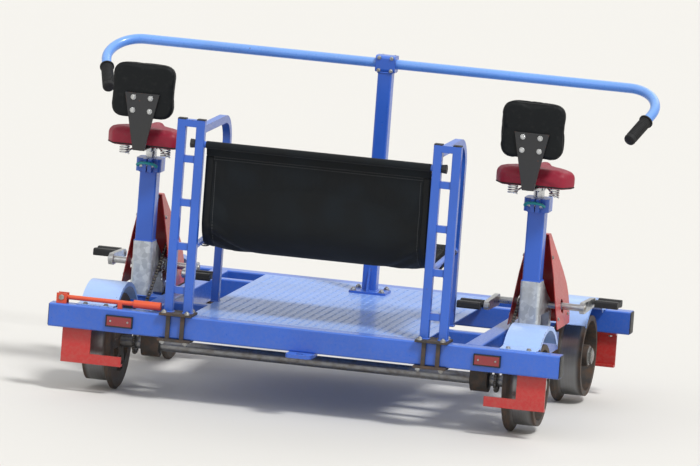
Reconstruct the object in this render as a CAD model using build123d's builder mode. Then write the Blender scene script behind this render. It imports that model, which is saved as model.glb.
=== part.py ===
from build123d import *
import os
from math import acos, asin, atan2, cos, hypot, pi, radians, sin, tan

os.makedirs("parts", exist_ok=True)

# Pedal rail car. X points to the right, Y forward along the track, Z up.
# The origin lies on the floor plane under the middle, at the foot of the wheel flanges.

# Track and wheels
wheelbase = 800.0
flange_back_to_back = 1364.0
wheel_width = 105.0
tread_radius = 140.0
flange_height = 25.0
flange_thickness = 30.0
flange_tip_width = 16.0
flange_chamfer = 6.0
rim_thickness = 18.0
rim_slope = 6.0
web_thickness = 14.0
spoke_count = 6
spoke_width = 30.0
window_margin = 12.0
hub_radius = 38.0
axle_radius = 20.0
axle_end_past_wheel = 14.0
running_gap = 0.05

# Chassis
beam_height = 80.0
beam_depth = 60.0
tube_wall = 4.0
beam_length = 1776.0
beam_bottom = 225.0
beam_gap_to_flange = 10.0
member_width = 60.0
member_x = 575.0
cross_width = 40.0
rear_cross_y = -260.0
floor_thickness = 4.0
floor_width = 820.0
edge_round = 6.0
tow_plate_thickness = 12.0
tow_plate_width = 90.0
tow_plate_reach = 70.0
tow_plate_corner = 20.0
tow_hole_radius = 13.0
block_length = 118.0
block_foot = 14.0
block_radius = 42.0
block_neck = 48.0

# Pedal stations
station_x = 680.0
mast_y = -160.0
mast_side = 60.0
mast_wall = 5.0
mast_top = 726.0
clamp_height = 46.0
clamp_width = 88.0
clamp_depth = 80.0
clamp_corner = 14.0
clamp_slit = 4.0
clamp_lug_width = 32.0
clamp_lug_reach = 20.0
seat_post_radius = 19.0
seat_post_length = 330.0
seat_post_gap = 0.3
socket_wall = 4.0
socket_gap = 0.3
socket_top = 485.0
mast_arm_height = 40.0
mast_arm_rise = 31.0
crank_arm_height = 59.0
rigger_reach = 60.0
rigger_link_width = 40.0
crank_y = 0.0
crank_z = 385.0
crank_length = 170.0
crank_half_tread = 150.0
crank_arm_thickness = 16.0
crank_boss_radius = 20.0
crank_eye_radius = 15.0
crank_axle_radius = 12.0
bracket_width = 60.0
bracket_radius = 27.0
bracket_arm_height = 46.0
leg_depth = 34.0
leg_forward = 44.0
pedal_length = 80.0
pedal_width = 92.0
pedal_thickness = 24.0
pedal_block_width = 30.0
pedal_plate = 4.0
pedal_barrel_radius = 10.0
pedal_corner = 5.0
pedal_gap = 8.0
pedal_pin_radius = 7.0
pedal_pin_gap = 0.05

# Chain drive
chain_inset = 48.0
chain_pitch = 15.875
ring_teeth = 32
sprocket_teeth = 14
chain_width = 12.0
chain_lobe = 5.8
chain_waist = 4.2
roller_radius = 5.1
tooth_rise = 2.2
tooth_gap = 0.5
tooth_tip_share = 0.20
tooth_root_share = 0.64
sprocket_thickness = 4.0
ring_window_count = 5
ring_spoke_width = 16.0
ring_rim = 12.0
ring_hub_radius = 24.0
ring_hub_length = 12.0
ring_spoke_overlap = 1.0

# Chain case
case_bottom = 316.0
case_top = 640.0
case_half_foot = 88.0
case_shoulder_z = 500.0
case_half_shoulder = 61.0
case_half_crown = 34.0
case_back = -100.0
case_crown_length = 34.0
case_nose_radius = 122.0
case_wall = 3.0
case_axle_hole = 24.0
case_tab_width = 40.0
case_tab_height = 14.0
case_tab_reach = 26.0

# Saddles and backrests
saddle_width = 290.0
saddle_nose_width = 70.0
saddle_length = 260.0
saddle_thickness = 58.0
saddle_back = -305.0
saddle_bottom = 822.0
saddle_tail_inset = 34.0
saddle_wing_forward = 62.0
saddle_waist_forward = 176.0
saddle_nose_inset = 12.0
saddle_corner = 22.0
saddle_crown = 14.0
saddle_plate_width = 70.0
saddle_plate_length = 160.0
saddle_plate_thickness = 10.0
saddle_plate_corner = 20.0
saddle_plate_back = 30.0
backrest_width = 220.0
backrest_height = 195.0
backrest_thickness = 42.0
backrest_corner = 40.0
backrest_crown = 8.0
backrest_bottom = 925.0
backrest_gap = 12.0
bracket_foot_width = 40.0
bracket_head_width = 120.0
bracket_overlap = 90.0
bracket_plate = 8.0
strap_thickness = 4.0

# Bench between the stations
post_tube = 30.0
post_inner_x = 412.0
post_outer_x = 478.0
post_top = 975.0
post_corner = 4.0
rung_heights = (390.0, 540.0, 690.0, 840.0)
rung_height = 24.0
rung_depth = 18.0
clamp_plate_length = 112.0
clamp_plate_overhang = 20.0
clamp_plate_thickness = 8.0
clamp_strap_width = 14.0
clamp_strap_thickness = 8.0
clamp_strap_spacing = 50.0
clamp_strap_gap = 2.0
hoop_side = 26.0
hoop_x = 412.0
hoop_front_y = -190.0
hoop_bend = 90.0
arm_height = 945.0
seat_rear_z = 540.0
seat_front_z = 566.0
seat_tube_radius = 11.0
front_tube_radius = 12.0
back_rail_radius = 11.0
back_rail_drop = 11.0
sling_half_width = 394.0
sling_thickness = 8.0
sling_top = 905.0
sling_gap = 0.4
seat_tube_gap = 1.0
sling_bend = 110.0

# Handlebar
bar_y = 400.0
bar_z = 1105.0
bar_radius = 17.0
bar_bend = 110.0
bar_corner_x = 1005.0
bar_sweep_in = 85.0
bar_sweep_back = 250.0
bar_sweep_drop = 145.0
bar_post_side = 50.0
bar_foot_width = 130.0
bar_foot_depth = 110.0
bar_foot_thickness = 8.0
bar_foot_corner = 12.0
bar_gusset_reach = 26.0
bar_gusset_height = 90.0
bar_clamp_width = 70.0
bar_clamp_wall = 12.0
bar_clamp_gap = 0.3
grip_length = 125.0
grip_radius = 21.0
grip_cap = 8.0

# Guards and fittings
guard_radius = 200.0
guard_wall = 3.0
guard_lip = 12.0
guard_width = 128.0
guard_inner_x = 672.0
guard_near_angle = 44.0
guard_far_angle = 52.0
guard_foot = 36.0
rail_guard_thickness = 8.0
rail_guard_outer_x = 842.0
rail_guard_plate_width = 100.0
rail_guard_inner_x = 632.0
rail_guard_bottom = 105.0
rail_guard_bar_height = 34.0
rail_guard_flange = 22.0
reflector_x = 640.0
reflector_width = 90.0
reflector_height = 36.0
reflector_depth = 8.0
reflector_corner = 6.0
lever_pivot_x = 850.0
lever_end_x = 506.0
lever_rise = 21.0
lever_radius = 8.0
lever_eye_radius = 14.0
lever_grip_radius = 14.0
lever_grip_length = 95.0
lever_cheek = 6.0
lever_cheek_gap = 24.0
lever_cheek_length = 36.0
lever_rest_x = 640.0
lever_rest_length = 16.0

# Values that follow from the sizes above
flange_radius = tread_radius + flange_height
axle_z = flange_radius
axle_y = wheelbase / 2
wheel_inner_x = flange_back_to_back / 2
wheel_outer_x = wheel_inner_x + wheel_width
shaft_end_x = wheel_outer_x + axle_end_past_wheel
beam_top = beam_bottom + beam_height
beam_mid_z = beam_bottom + beam_height / 2
beam_y = axle_y + flange_radius + beam_gap_to_flange + beam_depth / 2
beam_inner_y = beam_y - beam_depth / 2
member_inner_x = member_x - member_width / 2
member_outer_x = member_x + member_width / 2
mast_arm_bottom = beam_bottom + mast_arm_rise
mast_arm_top = mast_arm_bottom + mast_arm_height
crank_arm_top = beam_bottom + crank_arm_height
rigger_end_x = station_x + rigger_reach
leg_y = crank_y + leg_forward
chain_x = station_x - chain_inset
ring_pitch_radius = chain_pitch / 2 / sin(pi / ring_teeth)
sprocket_pitch_radius = chain_pitch / 2 / sin(pi / sprocket_teeth)
arm_plane_x = (station_x - crank_half_tread, station_x + crank_half_tread)
post_front_y = -beam_y + post_tube / 2
back_rail_end_x = post_inner_x - post_tube / 2
backrest_y = saddle_back - backrest_gap
lever_z = beam_top + lever_rise
sides = (("left", -1), ("right", 1))
ends = (("rear", -1), ("front", 1))


def put_side(part, side):
    """A piece made for the right-hand side, or its mirror image on the left."""
    return part if side > 0 else mirror(part, about=Plane.YZ)


def put_end(part, end):
    """A piece made for the front end, or its mirror image at the rear."""
    return part if end > 0 else mirror(part, about=Plane.XZ)


def both_sides(part):
    """A piece and its mirror image on the other side, as one node."""
    with BuildPart() as pair:
        add(part)
        add(mirror(part, about=Plane.YZ))
    return pair.part


def four_corners(part):
    """A piece at each corner of the car, as one node."""
    with BuildPart() as group:
        for end_name, end in ends:
            add(both_sides(put_end(part, end)))
    return group.part


def save(part, label):
    part.label = label
    export_step(part, f"parts/{label}.step")


def box_tube(length, across, high, wall):
    """A rectangular tube along X, centred on the origin, closed at its ends."""
    with BuildPart() as tube:
        with BuildSketch(Plane.YZ.offset(-length / 2)):
            RectangleRounded(across, high, edge_round)
        extrude(amount=length)
        with BuildSketch(Plane.YZ.offset(-length / 2 + wall)):
            Rectangle(across - 2 * wall, high - 2 * wall)
        extrude(amount=length - 2 * wall, mode=Mode.SUBTRACT)
    return tube.part


def bent_tube(start, corner, end, bend, profile):
    """A bar with the given profile: two straight runs and a round bend between them."""
    way_in = (corner - start).normalized()
    way_out = (end - corner).normalized()
    bend_axis = way_in.cross(way_out).normalized()
    turn = way_in.get_angle(way_out)
    cut = bend * tan(radians(turn) / 2)
    bend_start = corner - way_in * cut
    bend_end = corner + way_out * cut
    with BuildPart() as tube:
        with BuildSketch(Plane(start, x_dir=bend_axis, z_dir=way_in)):
            add(profile)
        extrude(amount=(bend_start - start).length)
        with BuildSketch(Plane(bend_start, x_dir=bend_axis, z_dir=way_in)):
            add(profile)
        revolve(
            axis=Axis(bend_start + bend_axis.cross(way_in) * bend, bend_axis),
            revolution_arc=turn,
        )
        with BuildSketch(Plane(bend_end, x_dir=bend_axis, z_dir=way_out)):
            add(profile)
        extrude(amount=(end - bend_end).length)
    return tube.part


def toothed_rim(teeth, pitch_radius, first_gap):
    """Corners of a toothed rim: each tooth has two at its root and two at its tip."""
    step = 2 * pi / teeth
    root = pitch_radius - roller_radius
    tip = pitch_radius + tooth_rise
    tooth = (
        # share of the step from the tooth's middle, radius
        (-tooth_root_share / 2, root),
        (-tooth_tip_share / 2, tip),
        (tooth_tip_share / 2, tip),
        (tooth_root_share / 2, root),
    )
    corners = []
    for k in range(teeth):
        for share, radius in tooth:
            angle = first_gap + (k + 0.5 + share) * step
            corners.append((radius * cos(angle), radius * sin(angle)))
    return corners


# Cross beams at both ends, with a plate for the tow pin
beam_shell = box_tube(beam_length, beam_depth, beam_height, tube_wall)
with BuildPart() as beam:
    add(Pos(0, beam_y, beam_mid_z) * beam_shell)
    with BuildSketch(Plane.XY.offset(beam_bottom - tow_plate_thickness)):
        with Locations((0, beam_y + tow_plate_reach / 2)):
            RectangleRounded(tow_plate_width, beam_depth + tow_plate_reach, tow_plate_corner)
        with Locations((0, beam_y + beam_depth / 2 + tow_plate_reach / 2)):
            Circle(tow_hole_radius, mode=Mode.SUBTRACT)
    extrude(amount=tow_plate_thickness)
for end_name, end in ends:
    save(put_end(beam.part, end), f"{end_name}_beam")

# Lengthwise members between the beams
member_shell = box_tube(2 * beam_inner_y, member_width, beam_height, tube_wall)
member = Pos(member_x, 0, beam_mid_z) * Rot(0, 0, 90) * member_shell
save(both_sides(member), "side_members")

# Cross tubes between the members, under the floor: the front one carries the handlebar post
cross_height = beam_height - floor_thickness
cross_shell = box_tube(2 * member_inner_x, cross_width, cross_height, tube_wall)
with BuildPart() as cross_tubes:
    for y in (rear_cross_y, bar_y):
        add(Pos(0, y, beam_bottom + cross_height / 2) * cross_shell)
save(cross_tubes.part, "cross_tubes")

with BuildPart() as floor_plate:
    with BuildSketch(Plane.XY.offset(beam_top - floor_thickness)):
        Rectangle(floor_width, 2 * beam_inner_y)
    extrude(amount=floor_thickness)
save(floor_plate.part, "floor_plate")

# Outriggers: one arm for the mast, one for the crank, and a link outside the wheel gap
with BuildPart() as outrigger:
    with BuildSketch(Plane.YZ.offset(member_outer_x)):
        with Locations((mast_y, mast_arm_bottom + mast_arm_height / 2)):
            Rectangle(mast_side + 2 * socket_wall, mast_arm_height)
        with Locations((leg_y, beam_bottom + crank_arm_height / 2)):
            Rectangle(mast_side, crank_arm_height)
    extrude(amount=rigger_end_x - member_outer_x)
    with BuildSketch(Plane.XY.offset(beam_bottom)):
        with Locations((rigger_end_x - rigger_link_width / 2, (mast_y + leg_y) / 2)):
            Rectangle(rigger_link_width, leg_y - mast_y)
    extrude(amount=crank_arm_height)
for side_name, side in sides:
    save(put_side(outrigger.part, side), f"outrigger_{side_name}")

# Bearing housings that hang under the members
with BuildPart() as housing:
    with BuildSketch(Plane.YZ.offset(member_inner_x)):
        with BuildLine():
            Polyline(
                (axle_y - block_length / 2, beam_bottom),
                (axle_y - block_length / 2, beam_bottom - block_foot),
                (axle_y - block_neck, beam_bottom - block_foot),
                (axle_y - block_radius, axle_z),
                (axle_y + block_radius, axle_z),
                (axle_y + block_neck, beam_bottom - block_foot),
                (axle_y + block_length / 2, beam_bottom - block_foot),
                (axle_y + block_length / 2, beam_bottom),
                close=True,
            )
        make_face()
        with Locations((axle_y, axle_z)):
            Circle(block_radius)
            Circle(axle_radius + running_gap, mode=Mode.SUBTRACT)
    extrude(amount=member_width)
save(four_corners(housing.part), "bearing_housings")

# Wheels: a flanged rim, a spoked web at its inner face and a long hub, turned about the axle
window_inner = hub_radius + window_margin
window_outer = tread_radius - rim_thickness - rim_slope - window_margin
with BuildPart() as wheel:
    with BuildSketch(Plane.XZ.offset(-axle_y)):
        with BuildLine():
            Polyline(
                (wheel_inner_x, axle_z + axle_radius),
                (wheel_inner_x, axle_z + flange_radius - flange_chamfer),
                (wheel_inner_x + flange_chamfer, axle_z + flange_radius),
                (wheel_inner_x + flange_tip_width, axle_z + flange_radius),
                (wheel_inner_x + flange_thickness, axle_z + tread_radius),
                (wheel_outer_x, axle_z + tread_radius),
                (wheel_outer_x, axle_z + tread_radius - rim_thickness),
                (wheel_inner_x + web_thickness, axle_z + tread_radius - rim_thickness - rim_slope),
                (wheel_inner_x + web_thickness, axle_z + hub_radius),
                (wheel_outer_x, axle_z + hub_radius),
                (wheel_outer_x, axle_z + axle_radius),
                close=True,
            )
        make_face()
    revolve(axis=Axis((0, axle_y, axle_z), (1, 0, 0)))
    with BuildSketch(Plane((wheel_inner_x, axle_y, axle_z), x_dir=(0, 1, 0), z_dir=(1, 0, 0))):
        Circle(window_outer)
        Circle(window_inner, mode=Mode.SUBTRACT)
        with PolarLocations(0, spoke_count):
            Rectangle(
                2 * window_outer,
                spoke_width,
                align=(Align.MIN, Align.CENTER),
                mode=Mode.SUBTRACT,
            )
    extrude(amount=web_thickness, mode=Mode.SUBTRACT)
for end_name, end in ends:
    save(both_sides(put_end(wheel.part, end)), f"{end_name}_wheels")

# The chain's line: round the ring at the crank and the sprocket on the rear axle
run_y = -axle_y - crank_y
run_z = axle_z - crank_z
centre_distance = hypot(run_y, run_z)
run_angle = atan2(run_z, run_y)
touch_angle = acos((ring_pitch_radius - sprocket_pitch_radius) / centre_distance)
run_length = centre_distance * sin(touch_angle)
sprocket_wrap = 2 * touch_angle
ring_wrap = 2 * pi - sprocket_wrap
sprocket_end = run_length + sprocket_pitch_radius * sprocket_wrap
ring_start = sprocket_end + run_length
loop_length = ring_start + ring_pitch_radius * ring_wrap
link_count = 2 * round(loop_length / chain_pitch / 2)
link_length = loop_length / link_count
first_pin = ring_start + ring_pitch_radius * ring_wrap / 2
ring_gap_angle = run_angle + pi


def chain_place(along, lift):
    """Y and Z of a place on the chain's line, moved outwards by lift."""
    along = along % loop_length
    if along < run_length:
        angle = touch_angle
        far, up = along * sin(angle), -along * cos(angle)
        radius = ring_pitch_radius
    elif along < sprocket_end:
        angle = touch_angle - (along - run_length) / sprocket_pitch_radius
        far, up = centre_distance, 0
        radius = sprocket_pitch_radius
    elif along < ring_start:
        angle = -touch_angle
        back = along - sprocket_end
        far = centre_distance - back * sin(touch_angle)
        up = -back * cos(touch_angle)
        radius = sprocket_pitch_radius
    else:
        angle = -touch_angle - (along - ring_start) / ring_pitch_radius
        far, up = 0, 0
        radius = ring_pitch_radius
    far += (radius + lift) * cos(angle)
    up += (radius + lift) * sin(angle)
    return (
        crank_y + far * cos(run_angle) - up * sin(run_angle),
        crank_z + far * sin(run_angle) + up * cos(run_angle),
    )


def chain_edge(way):
    """One edge of the chain: high at each pin and low between two pins."""
    lifts = (chain_lobe, chain_waist)
    return [
        chain_place(first_pin + k * link_length / 2, way * lifts[k % 2])
        for k in range(2 * link_count)
    ]


# The pin nearest the middle of the sprocket sets where its teeth stand
sprocket_middle = run_length + sprocket_pitch_radius * sprocket_wrap / 2
pins_past = round((sprocket_middle + loop_length - first_pin) / link_length)
nearest_pin = first_pin + pins_past * link_length - loop_length
sprocket_gap_angle = run_angle + (sprocket_middle - nearest_pin) / sprocket_pitch_radius

# Axles: the rear one carries a toothed sprocket for each station
with BuildPart() as front_axle:
    with BuildSketch(Plane.YZ.offset(-shaft_end_x)):
        with Locations((axle_y, axle_z)):
            Circle(axle_radius)
    extrude(amount=2 * shaft_end_x)
save(front_axle.part, "front_axle")
sprocket_corners = toothed_rim(sprocket_teeth, sprocket_pitch_radius, sprocket_gap_angle)
with BuildPart() as rear_axle:
    add(mirror(front_axle.part, about=Plane.XZ))
    for side_name, side in sides:
        with BuildSketch(Plane.YZ.offset(side * chain_x - sprocket_thickness / 2)):
            with BuildLine():
                Polyline(*[(y - axle_y, z + axle_z) for y, z in sprocket_corners], close=True)
            make_face()
        extrude(amount=sprocket_thickness)
save(rear_axle.part, "rear_axle")

# Masts, hollow, each with a split clamp head round the seat post and a tab for the case
clamp_back = mast_y - clamp_depth / 2
with BuildPart() as mast:
    with BuildSketch(Plane.XY.offset(mast_arm_top)):
        with Locations((station_x, mast_y)):
            RectangleRounded(mast_side, mast_side, edge_round)
            Rectangle(mast_side - 2 * mast_wall, mast_side - 2 * mast_wall, mode=Mode.SUBTRACT)
    extrude(amount=mast_top - mast_arm_top)
    with BuildSketch(Plane.XY.offset(mast_top)):
        with Locations((station_x, mast_y)):
            RectangleRounded(clamp_width, clamp_depth, clamp_corner)
        with Locations((station_x, clamp_back - clamp_lug_reach / 2)):
            Rectangle(clamp_lug_width, clamp_lug_reach)
        with Locations((station_x, mast_y)):
            Circle(seat_post_radius + seat_post_gap, mode=Mode.SUBTRACT)
        with Locations((station_x, clamp_back)):
            Rectangle(clamp_slit, clamp_depth - clamp_lug_reach, mode=Mode.SUBTRACT)
    extrude(amount=clamp_height)
    with BuildSketch(Plane.XZ.offset(-mast_y - mast_side / 2)):
        with Locations((station_x, case_top - case_wall - case_tab_height / 2)):
            Rectangle(case_tab_width, case_tab_height)
    extrude(amount=-(case_back + case_tab_reach - mast_y - mast_side / 2))
for side_name, side in sides:
    save(put_side(mast.part, side), f"mast_{side_name}")

# Crank pedestals: a socket round the mast's foot, an arm, the bearing shell and a front leg
socket_side = mast_side + 2 * socket_gap + 2 * socket_wall
with BuildPart() as pedestal:
    with BuildSketch(Plane.XY.offset(mast_arm_top)):
        with Locations((station_x, mast_y)):
            RectangleRounded(socket_side, socket_side, edge_round + socket_gap + socket_wall)
            RectangleRounded(
                mast_side + 2 * socket_gap,
                mast_side + 2 * socket_gap,
                edge_round + socket_gap,
                mode=Mode.SUBTRACT,
            )
    extrude(amount=socket_top - mast_arm_top)
    with BuildSketch(Plane.YZ.offset(station_x - bracket_width / 2)):
        with BuildLine():
            Polyline(
                (mast_y + socket_side / 2, crank_z - bracket_arm_height / 2),
                (mast_y + socket_side / 2, socket_top),
                (crank_y, crank_z + bracket_radius),
                (leg_y + leg_depth / 2, crank_z - bracket_radius),
                (leg_y + leg_depth / 2, crank_arm_top),
                (leg_y - leg_depth / 2, crank_arm_top),
                (leg_y - leg_depth / 2, crank_z - bracket_arm_height / 2),
                close=True,
            )
        make_face()
        with Locations((crank_y, crank_z)):
            Circle(bracket_radius)
            Circle(crank_axle_radius + running_gap, mode=Mode.SUBTRACT)
    extrude(amount=bracket_width)
for side_name, side in sides:
    save(put_side(pedestal.part, side), f"crank_pedestal_{side_name}")

# Cranksets: axle, toothed chain ring with windows, and two tapered arms
ring_window_outer = ring_pitch_radius - roller_radius - ring_rim
ring_window_inner = ring_hub_radius + ring_rim / 2
with BuildPart() as crankset:
    with BuildSketch(Plane.YZ.offset(arm_plane_x[0])):
        with Locations((crank_y, crank_z)):
            Circle(crank_axle_radius)
    extrude(amount=2 * crank_half_tread)
    with BuildSketch(Plane.YZ.offset(chain_x - sprocket_thickness / 2)):
        with BuildLine():
            Polyline(
                *[
                    (y + crank_y, z + crank_z)
                    for y, z in toothed_rim(ring_teeth, ring_pitch_radius, ring_gap_angle)
                ],
                close=True,
            )
        make_face()
        with Locations((crank_y, crank_z)):
            Circle(ring_window_outer, mode=Mode.SUBTRACT)
            Circle(ring_window_inner)
        with Locations((crank_y, crank_z)):
            with PolarLocations(0, ring_window_count):
                Rectangle(
                    ring_window_outer + ring_spoke_overlap,
                    ring_spoke_width,
                    align=(Align.MIN, Align.CENTER),
                )
    extrude(amount=sprocket_thickness)
    with BuildSketch(Plane.YZ.offset(chain_x - ring_hub_length / 2)):
        with Locations((crank_y, crank_z)):
            Circle(ring_hub_radius)
    extrude(amount=ring_hub_length)
    for x, direction in zip(arm_plane_x, (-1, 1)):
        eye_y = crank_y + direction * crank_length
        with BuildSketch(Plane.YZ.offset(x - crank_arm_thickness / 2)):
            with Locations((crank_y, crank_z)):
                Circle(crank_boss_radius)
            with Locations((eye_y, crank_z)):
                Circle(crank_eye_radius)
            make_hull()
            with Locations((eye_y, crank_z)):
                Circle(pedal_pin_radius + pedal_pin_gap, mode=Mode.SUBTRACT)
        extrude(amount=crank_arm_thickness)
for side_name, side in sides:
    save(put_side(crankset.part, side), f"crankset_{side_name}")

# Pedals: a pin through the arm's eye, two end plates and two tread blocks
block_y = pedal_width / 2 - pedal_block_width / 2
pedal_places = (
    # place, arm plane, crank direction, way the pedal points
    ("inner", arm_plane_x[0], -1, -1),
    ("outer", arm_plane_x[1], 1, 1),
)
for place_name, x, direction, way in pedal_places:
    pin_y = crank_y + direction * crank_length
    body_start = x + way * (crank_arm_thickness / 2 + pedal_gap)
    with BuildPart() as pedal:
        with BuildSketch(Plane.YZ.offset(x - way * crank_arm_thickness / 2)):
            with Locations((pin_y, crank_z)):
                Circle(pedal_pin_radius)
        extrude(amount=way * (crank_arm_thickness + pedal_gap))
        with BuildSketch(Plane.YZ.offset(body_start)):
            with Locations((pin_y, crank_z)):
                Circle(pedal_barrel_radius)
        extrude(amount=way * pedal_length)
        with BuildSketch(Plane.YZ.offset(body_start)) as block_ends:
            with Locations((pin_y - block_y, crank_z), (pin_y + block_y, crank_z)):
                Rectangle(pedal_block_width, pedal_thickness)
            chamfer(block_ends.vertices(), pedal_corner)
        extrude(amount=way * pedal_length)
        for offset_x in (0, pedal_length - pedal_plate):
            with BuildSketch(Plane.YZ.offset(body_start + way * offset_x)):
                with Locations((pin_y, crank_z)):
                    Rectangle(pedal_width - 2 * pedal_corner, pedal_thickness - 2 * pedal_corner)
            extrude(amount=way * pedal_plate)
    for side_name, side in sides:
        save(put_side(pedal.part, side), f"pedal_{side_name}_{place_name}")

# Chains: a closed loop of links, slotted where the teeth stand in it
tooth_places = (
    # y, z, pitch radius
    (crank_y, crank_z, ring_pitch_radius),
    (-axle_y, axle_z, sprocket_pitch_radius),
)
slot_width = sprocket_thickness + 2 * tooth_gap
with BuildPart() as chain:
    with BuildSketch(Plane.YZ.offset(chain_x - chain_width / 2)):
        for way, mode in ((1, Mode.ADD), (-1, Mode.SUBTRACT)):
            with BuildLine():
                Polyline(*chain_edge(way), close=True)
            make_face(mode=mode)
    extrude(amount=chain_width)
    for y, z, radius in tooth_places:
        with BuildSketch(Plane.YZ.offset(chain_x - slot_width / 2)):
            with Locations((y, z)):
                Circle(radius + tooth_rise + tooth_gap)
        extrude(amount=slot_width, mode=Mode.SUBTRACT)
for side_name, side in sides:
    save(put_side(chain.part, side), f"chain_{side_name}")

# Chain cases: an A-shaped hood round the ring that rises to a fin at the mast
crown_end = case_back + case_crown_length
case_slope = (case_half_foot - case_half_shoulder) / (case_shoulder_z - case_bottom)


def case_body(inset):
    """The hood's solid form, or the space inside it when inset by its wall."""
    nose = case_nose_radius - inset
    fin_z = case_top - inset
    reach = hypot(crown_end - crank_y, fin_z - crank_z)
    lean = atan2(fin_z - crank_z, crown_end - crank_y) - acos(nose / reach)
    sink = 2 * inset
    foot_z = case_bottom - sink
    half_foot = case_half_foot + case_slope * sink - inset
    foot_angle = asin((foot_z - crank_z) / nose)
    nose_foot = (crank_y + nose * cos(foot_angle), crank_z + nose * sin(foot_angle))
    nose_middle = (lean + foot_angle) / 2
    back = case_back - sink
    with BuildPart() as body:
        with BuildSketch(Plane.YZ.offset(station_x - case_half_foot)):
            with BuildLine():
                Polyline(
                    nose_foot,
                    (back, foot_z),
                    (back, fin_z),
                    (crown_end, fin_z),
                    (crank_y + nose * cos(lean), crank_z + nose * sin(lean)),
                )
                ThreePointArc(
                    (crank_y + nose * cos(lean), crank_z + nose * sin(lean)),
                    (crank_y + nose * cos(nose_middle), crank_z + nose * sin(nose_middle)),
                    nose_foot,
                )
            make_face()
        extrude(amount=2 * case_half_foot)
        with BuildSketch(Plane.XZ.offset(-crank_y - case_nose_radius)):
            with BuildLine():
                Polyline(
                    (station_x - half_foot, foot_z),
                    (station_x - case_half_shoulder + inset, case_shoulder_z),
                    (station_x - case_half_crown + inset, case_top),
                    (station_x + case_half_crown - inset, case_top),
                    (station_x + case_half_shoulder - inset, case_shoulder_z),
                    (station_x + half_foot, foot_z),
                    close=True,
                )
            make_face()
        extrude(amount=case_nose_radius - back + crank_y, mode=Mode.INTERSECT)
    return body.part


case_form = case_body(0)
case_space = case_body(case_wall)
with BuildPart() as case:
    add(case_form)
    add(case_space, mode=Mode.SUBTRACT)
    with BuildSketch(Plane.YZ.offset(station_x - case_half_foot)):
        with Locations((crank_y, crank_z)):
            Circle(case_axle_hole)
    extrude(amount=2 * case_half_foot, mode=Mode.SUBTRACT)
for side_name, side in sides:
    save(put_side(case.part, side), f"chain_case_{side_name}")

# Seat posts, each with a plate that the saddle is bolted to
saddle_plate_bottom = saddle_bottom - strap_thickness - saddle_plate_thickness
with BuildPart() as seat_post:
    with BuildSketch(Plane.XY.offset(saddle_plate_bottom - seat_post_length)):
        with Locations((station_x, mast_y)):
            Circle(seat_post_radius)
    extrude(amount=seat_post_length)
    with BuildSketch(Plane.XY.offset(saddle_plate_bottom)):
        with Locations((station_x, mast_y - saddle_plate_back)):
            RectangleRounded(saddle_plate_width, saddle_plate_length, saddle_plate_corner)
    extrude(amount=saddle_plate_thickness)
for side_name, side in sides:
    save(put_side(seat_post.part, side), f"seat_post_{side_name}")

# Saddles: wide at the back, narrow at the nose, with a crowned edge
half_outline = (
    # distance from the middle, distance forward from the tail
    (saddle_width / 2 - saddle_tail_inset, 0),
    (saddle_width / 2, saddle_wing_forward),
    (saddle_nose_width / 2, saddle_waist_forward),
    (saddle_nose_width / 2 - saddle_nose_inset, saddle_length),
)
saddle_outline = [(station_x + x, saddle_back + y) for x, y in half_outline]
saddle_outline += [(station_x - x, saddle_back + y) for x, y in reversed(half_outline)]
with BuildPart() as saddle:
    with BuildSketch(Plane.XY.offset(saddle_bottom)) as saddle_face:
        with BuildLine():
            Polyline(*saddle_outline, close=True)
        make_face()
        fillet(saddle_face.vertices(), saddle_corner)
    extrude(amount=saddle_thickness)
    chamfer(saddle.faces().sort_by(Axis.Z)[-1].edges(), saddle_crown)
for side_name, side in sides:
    save(put_side(saddle.part, side), f"saddle_{side_name}")

# Backrests: a pad on a tapered plate, carried by a strap under the saddle
plate_back_y = backrest_y - backrest_thickness - bracket_plate
strap_bottom = saddle_bottom - strap_thickness
with BuildPart() as backrest:
    with BuildSketch(Plane.XZ.offset(-backrest_y)):
        with Locations((station_x, backrest_bottom + backrest_height / 2)):
            RectangleRounded(backrest_width, backrest_height, backrest_corner)
    extrude(amount=backrest_thickness)
    chamfer(backrest.faces().sort_by(Axis.Y)[-1].edges(), backrest_crown)
    with BuildSketch(Plane.XZ.offset(-plate_back_y - bracket_plate)):
        with BuildLine():
            Polyline(
                (station_x - bracket_foot_width / 2, strap_bottom),
                (station_x + bracket_foot_width / 2, strap_bottom),
                (station_x + bracket_head_width / 2, backrest_bottom + bracket_overlap),
                (station_x - bracket_head_width / 2, backrest_bottom + bracket_overlap),
                close=True,
            )
        make_face()
    extrude(amount=bracket_plate)
    with BuildSketch(Plane.XY.offset(strap_bottom)):
        with Locations((station_x, (plate_back_y + mast_y) / 2)):
            Rectangle(bracket_foot_width, mast_y - plate_back_y)
    extrude(amount=strap_thickness)
for side_name, side in sides:
    save(put_side(backrest.part, side), f"backrest_{side_name}")

# Bench posts: two uprights each, joined by rungs
post_foot = beam_top + clamp_plate_thickness
with BuildPart() as bench_post:
    for x in (post_inner_x, post_outer_x):
        with BuildSketch(Plane.XY.offset(post_foot)):
            with Locations((x, -beam_y)):
                RectangleRounded(post_tube, post_tube, post_corner)
        extrude(amount=post_top - post_foot)
    with BuildSketch(Plane.YZ.offset(post_inner_x)):
        for z in rung_heights:
            with Locations((-beam_y, z)):
                Rectangle(rung_depth, rung_height)
        with Locations((-beam_y, post_top - rung_height / 2)):
            Rectangle(post_tube, rung_height)
    extrude(amount=post_outer_x - post_inner_x)
for side_name, side in sides:
    save(put_side(bench_post.part, side), f"bench_post_{side_name}")

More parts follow.
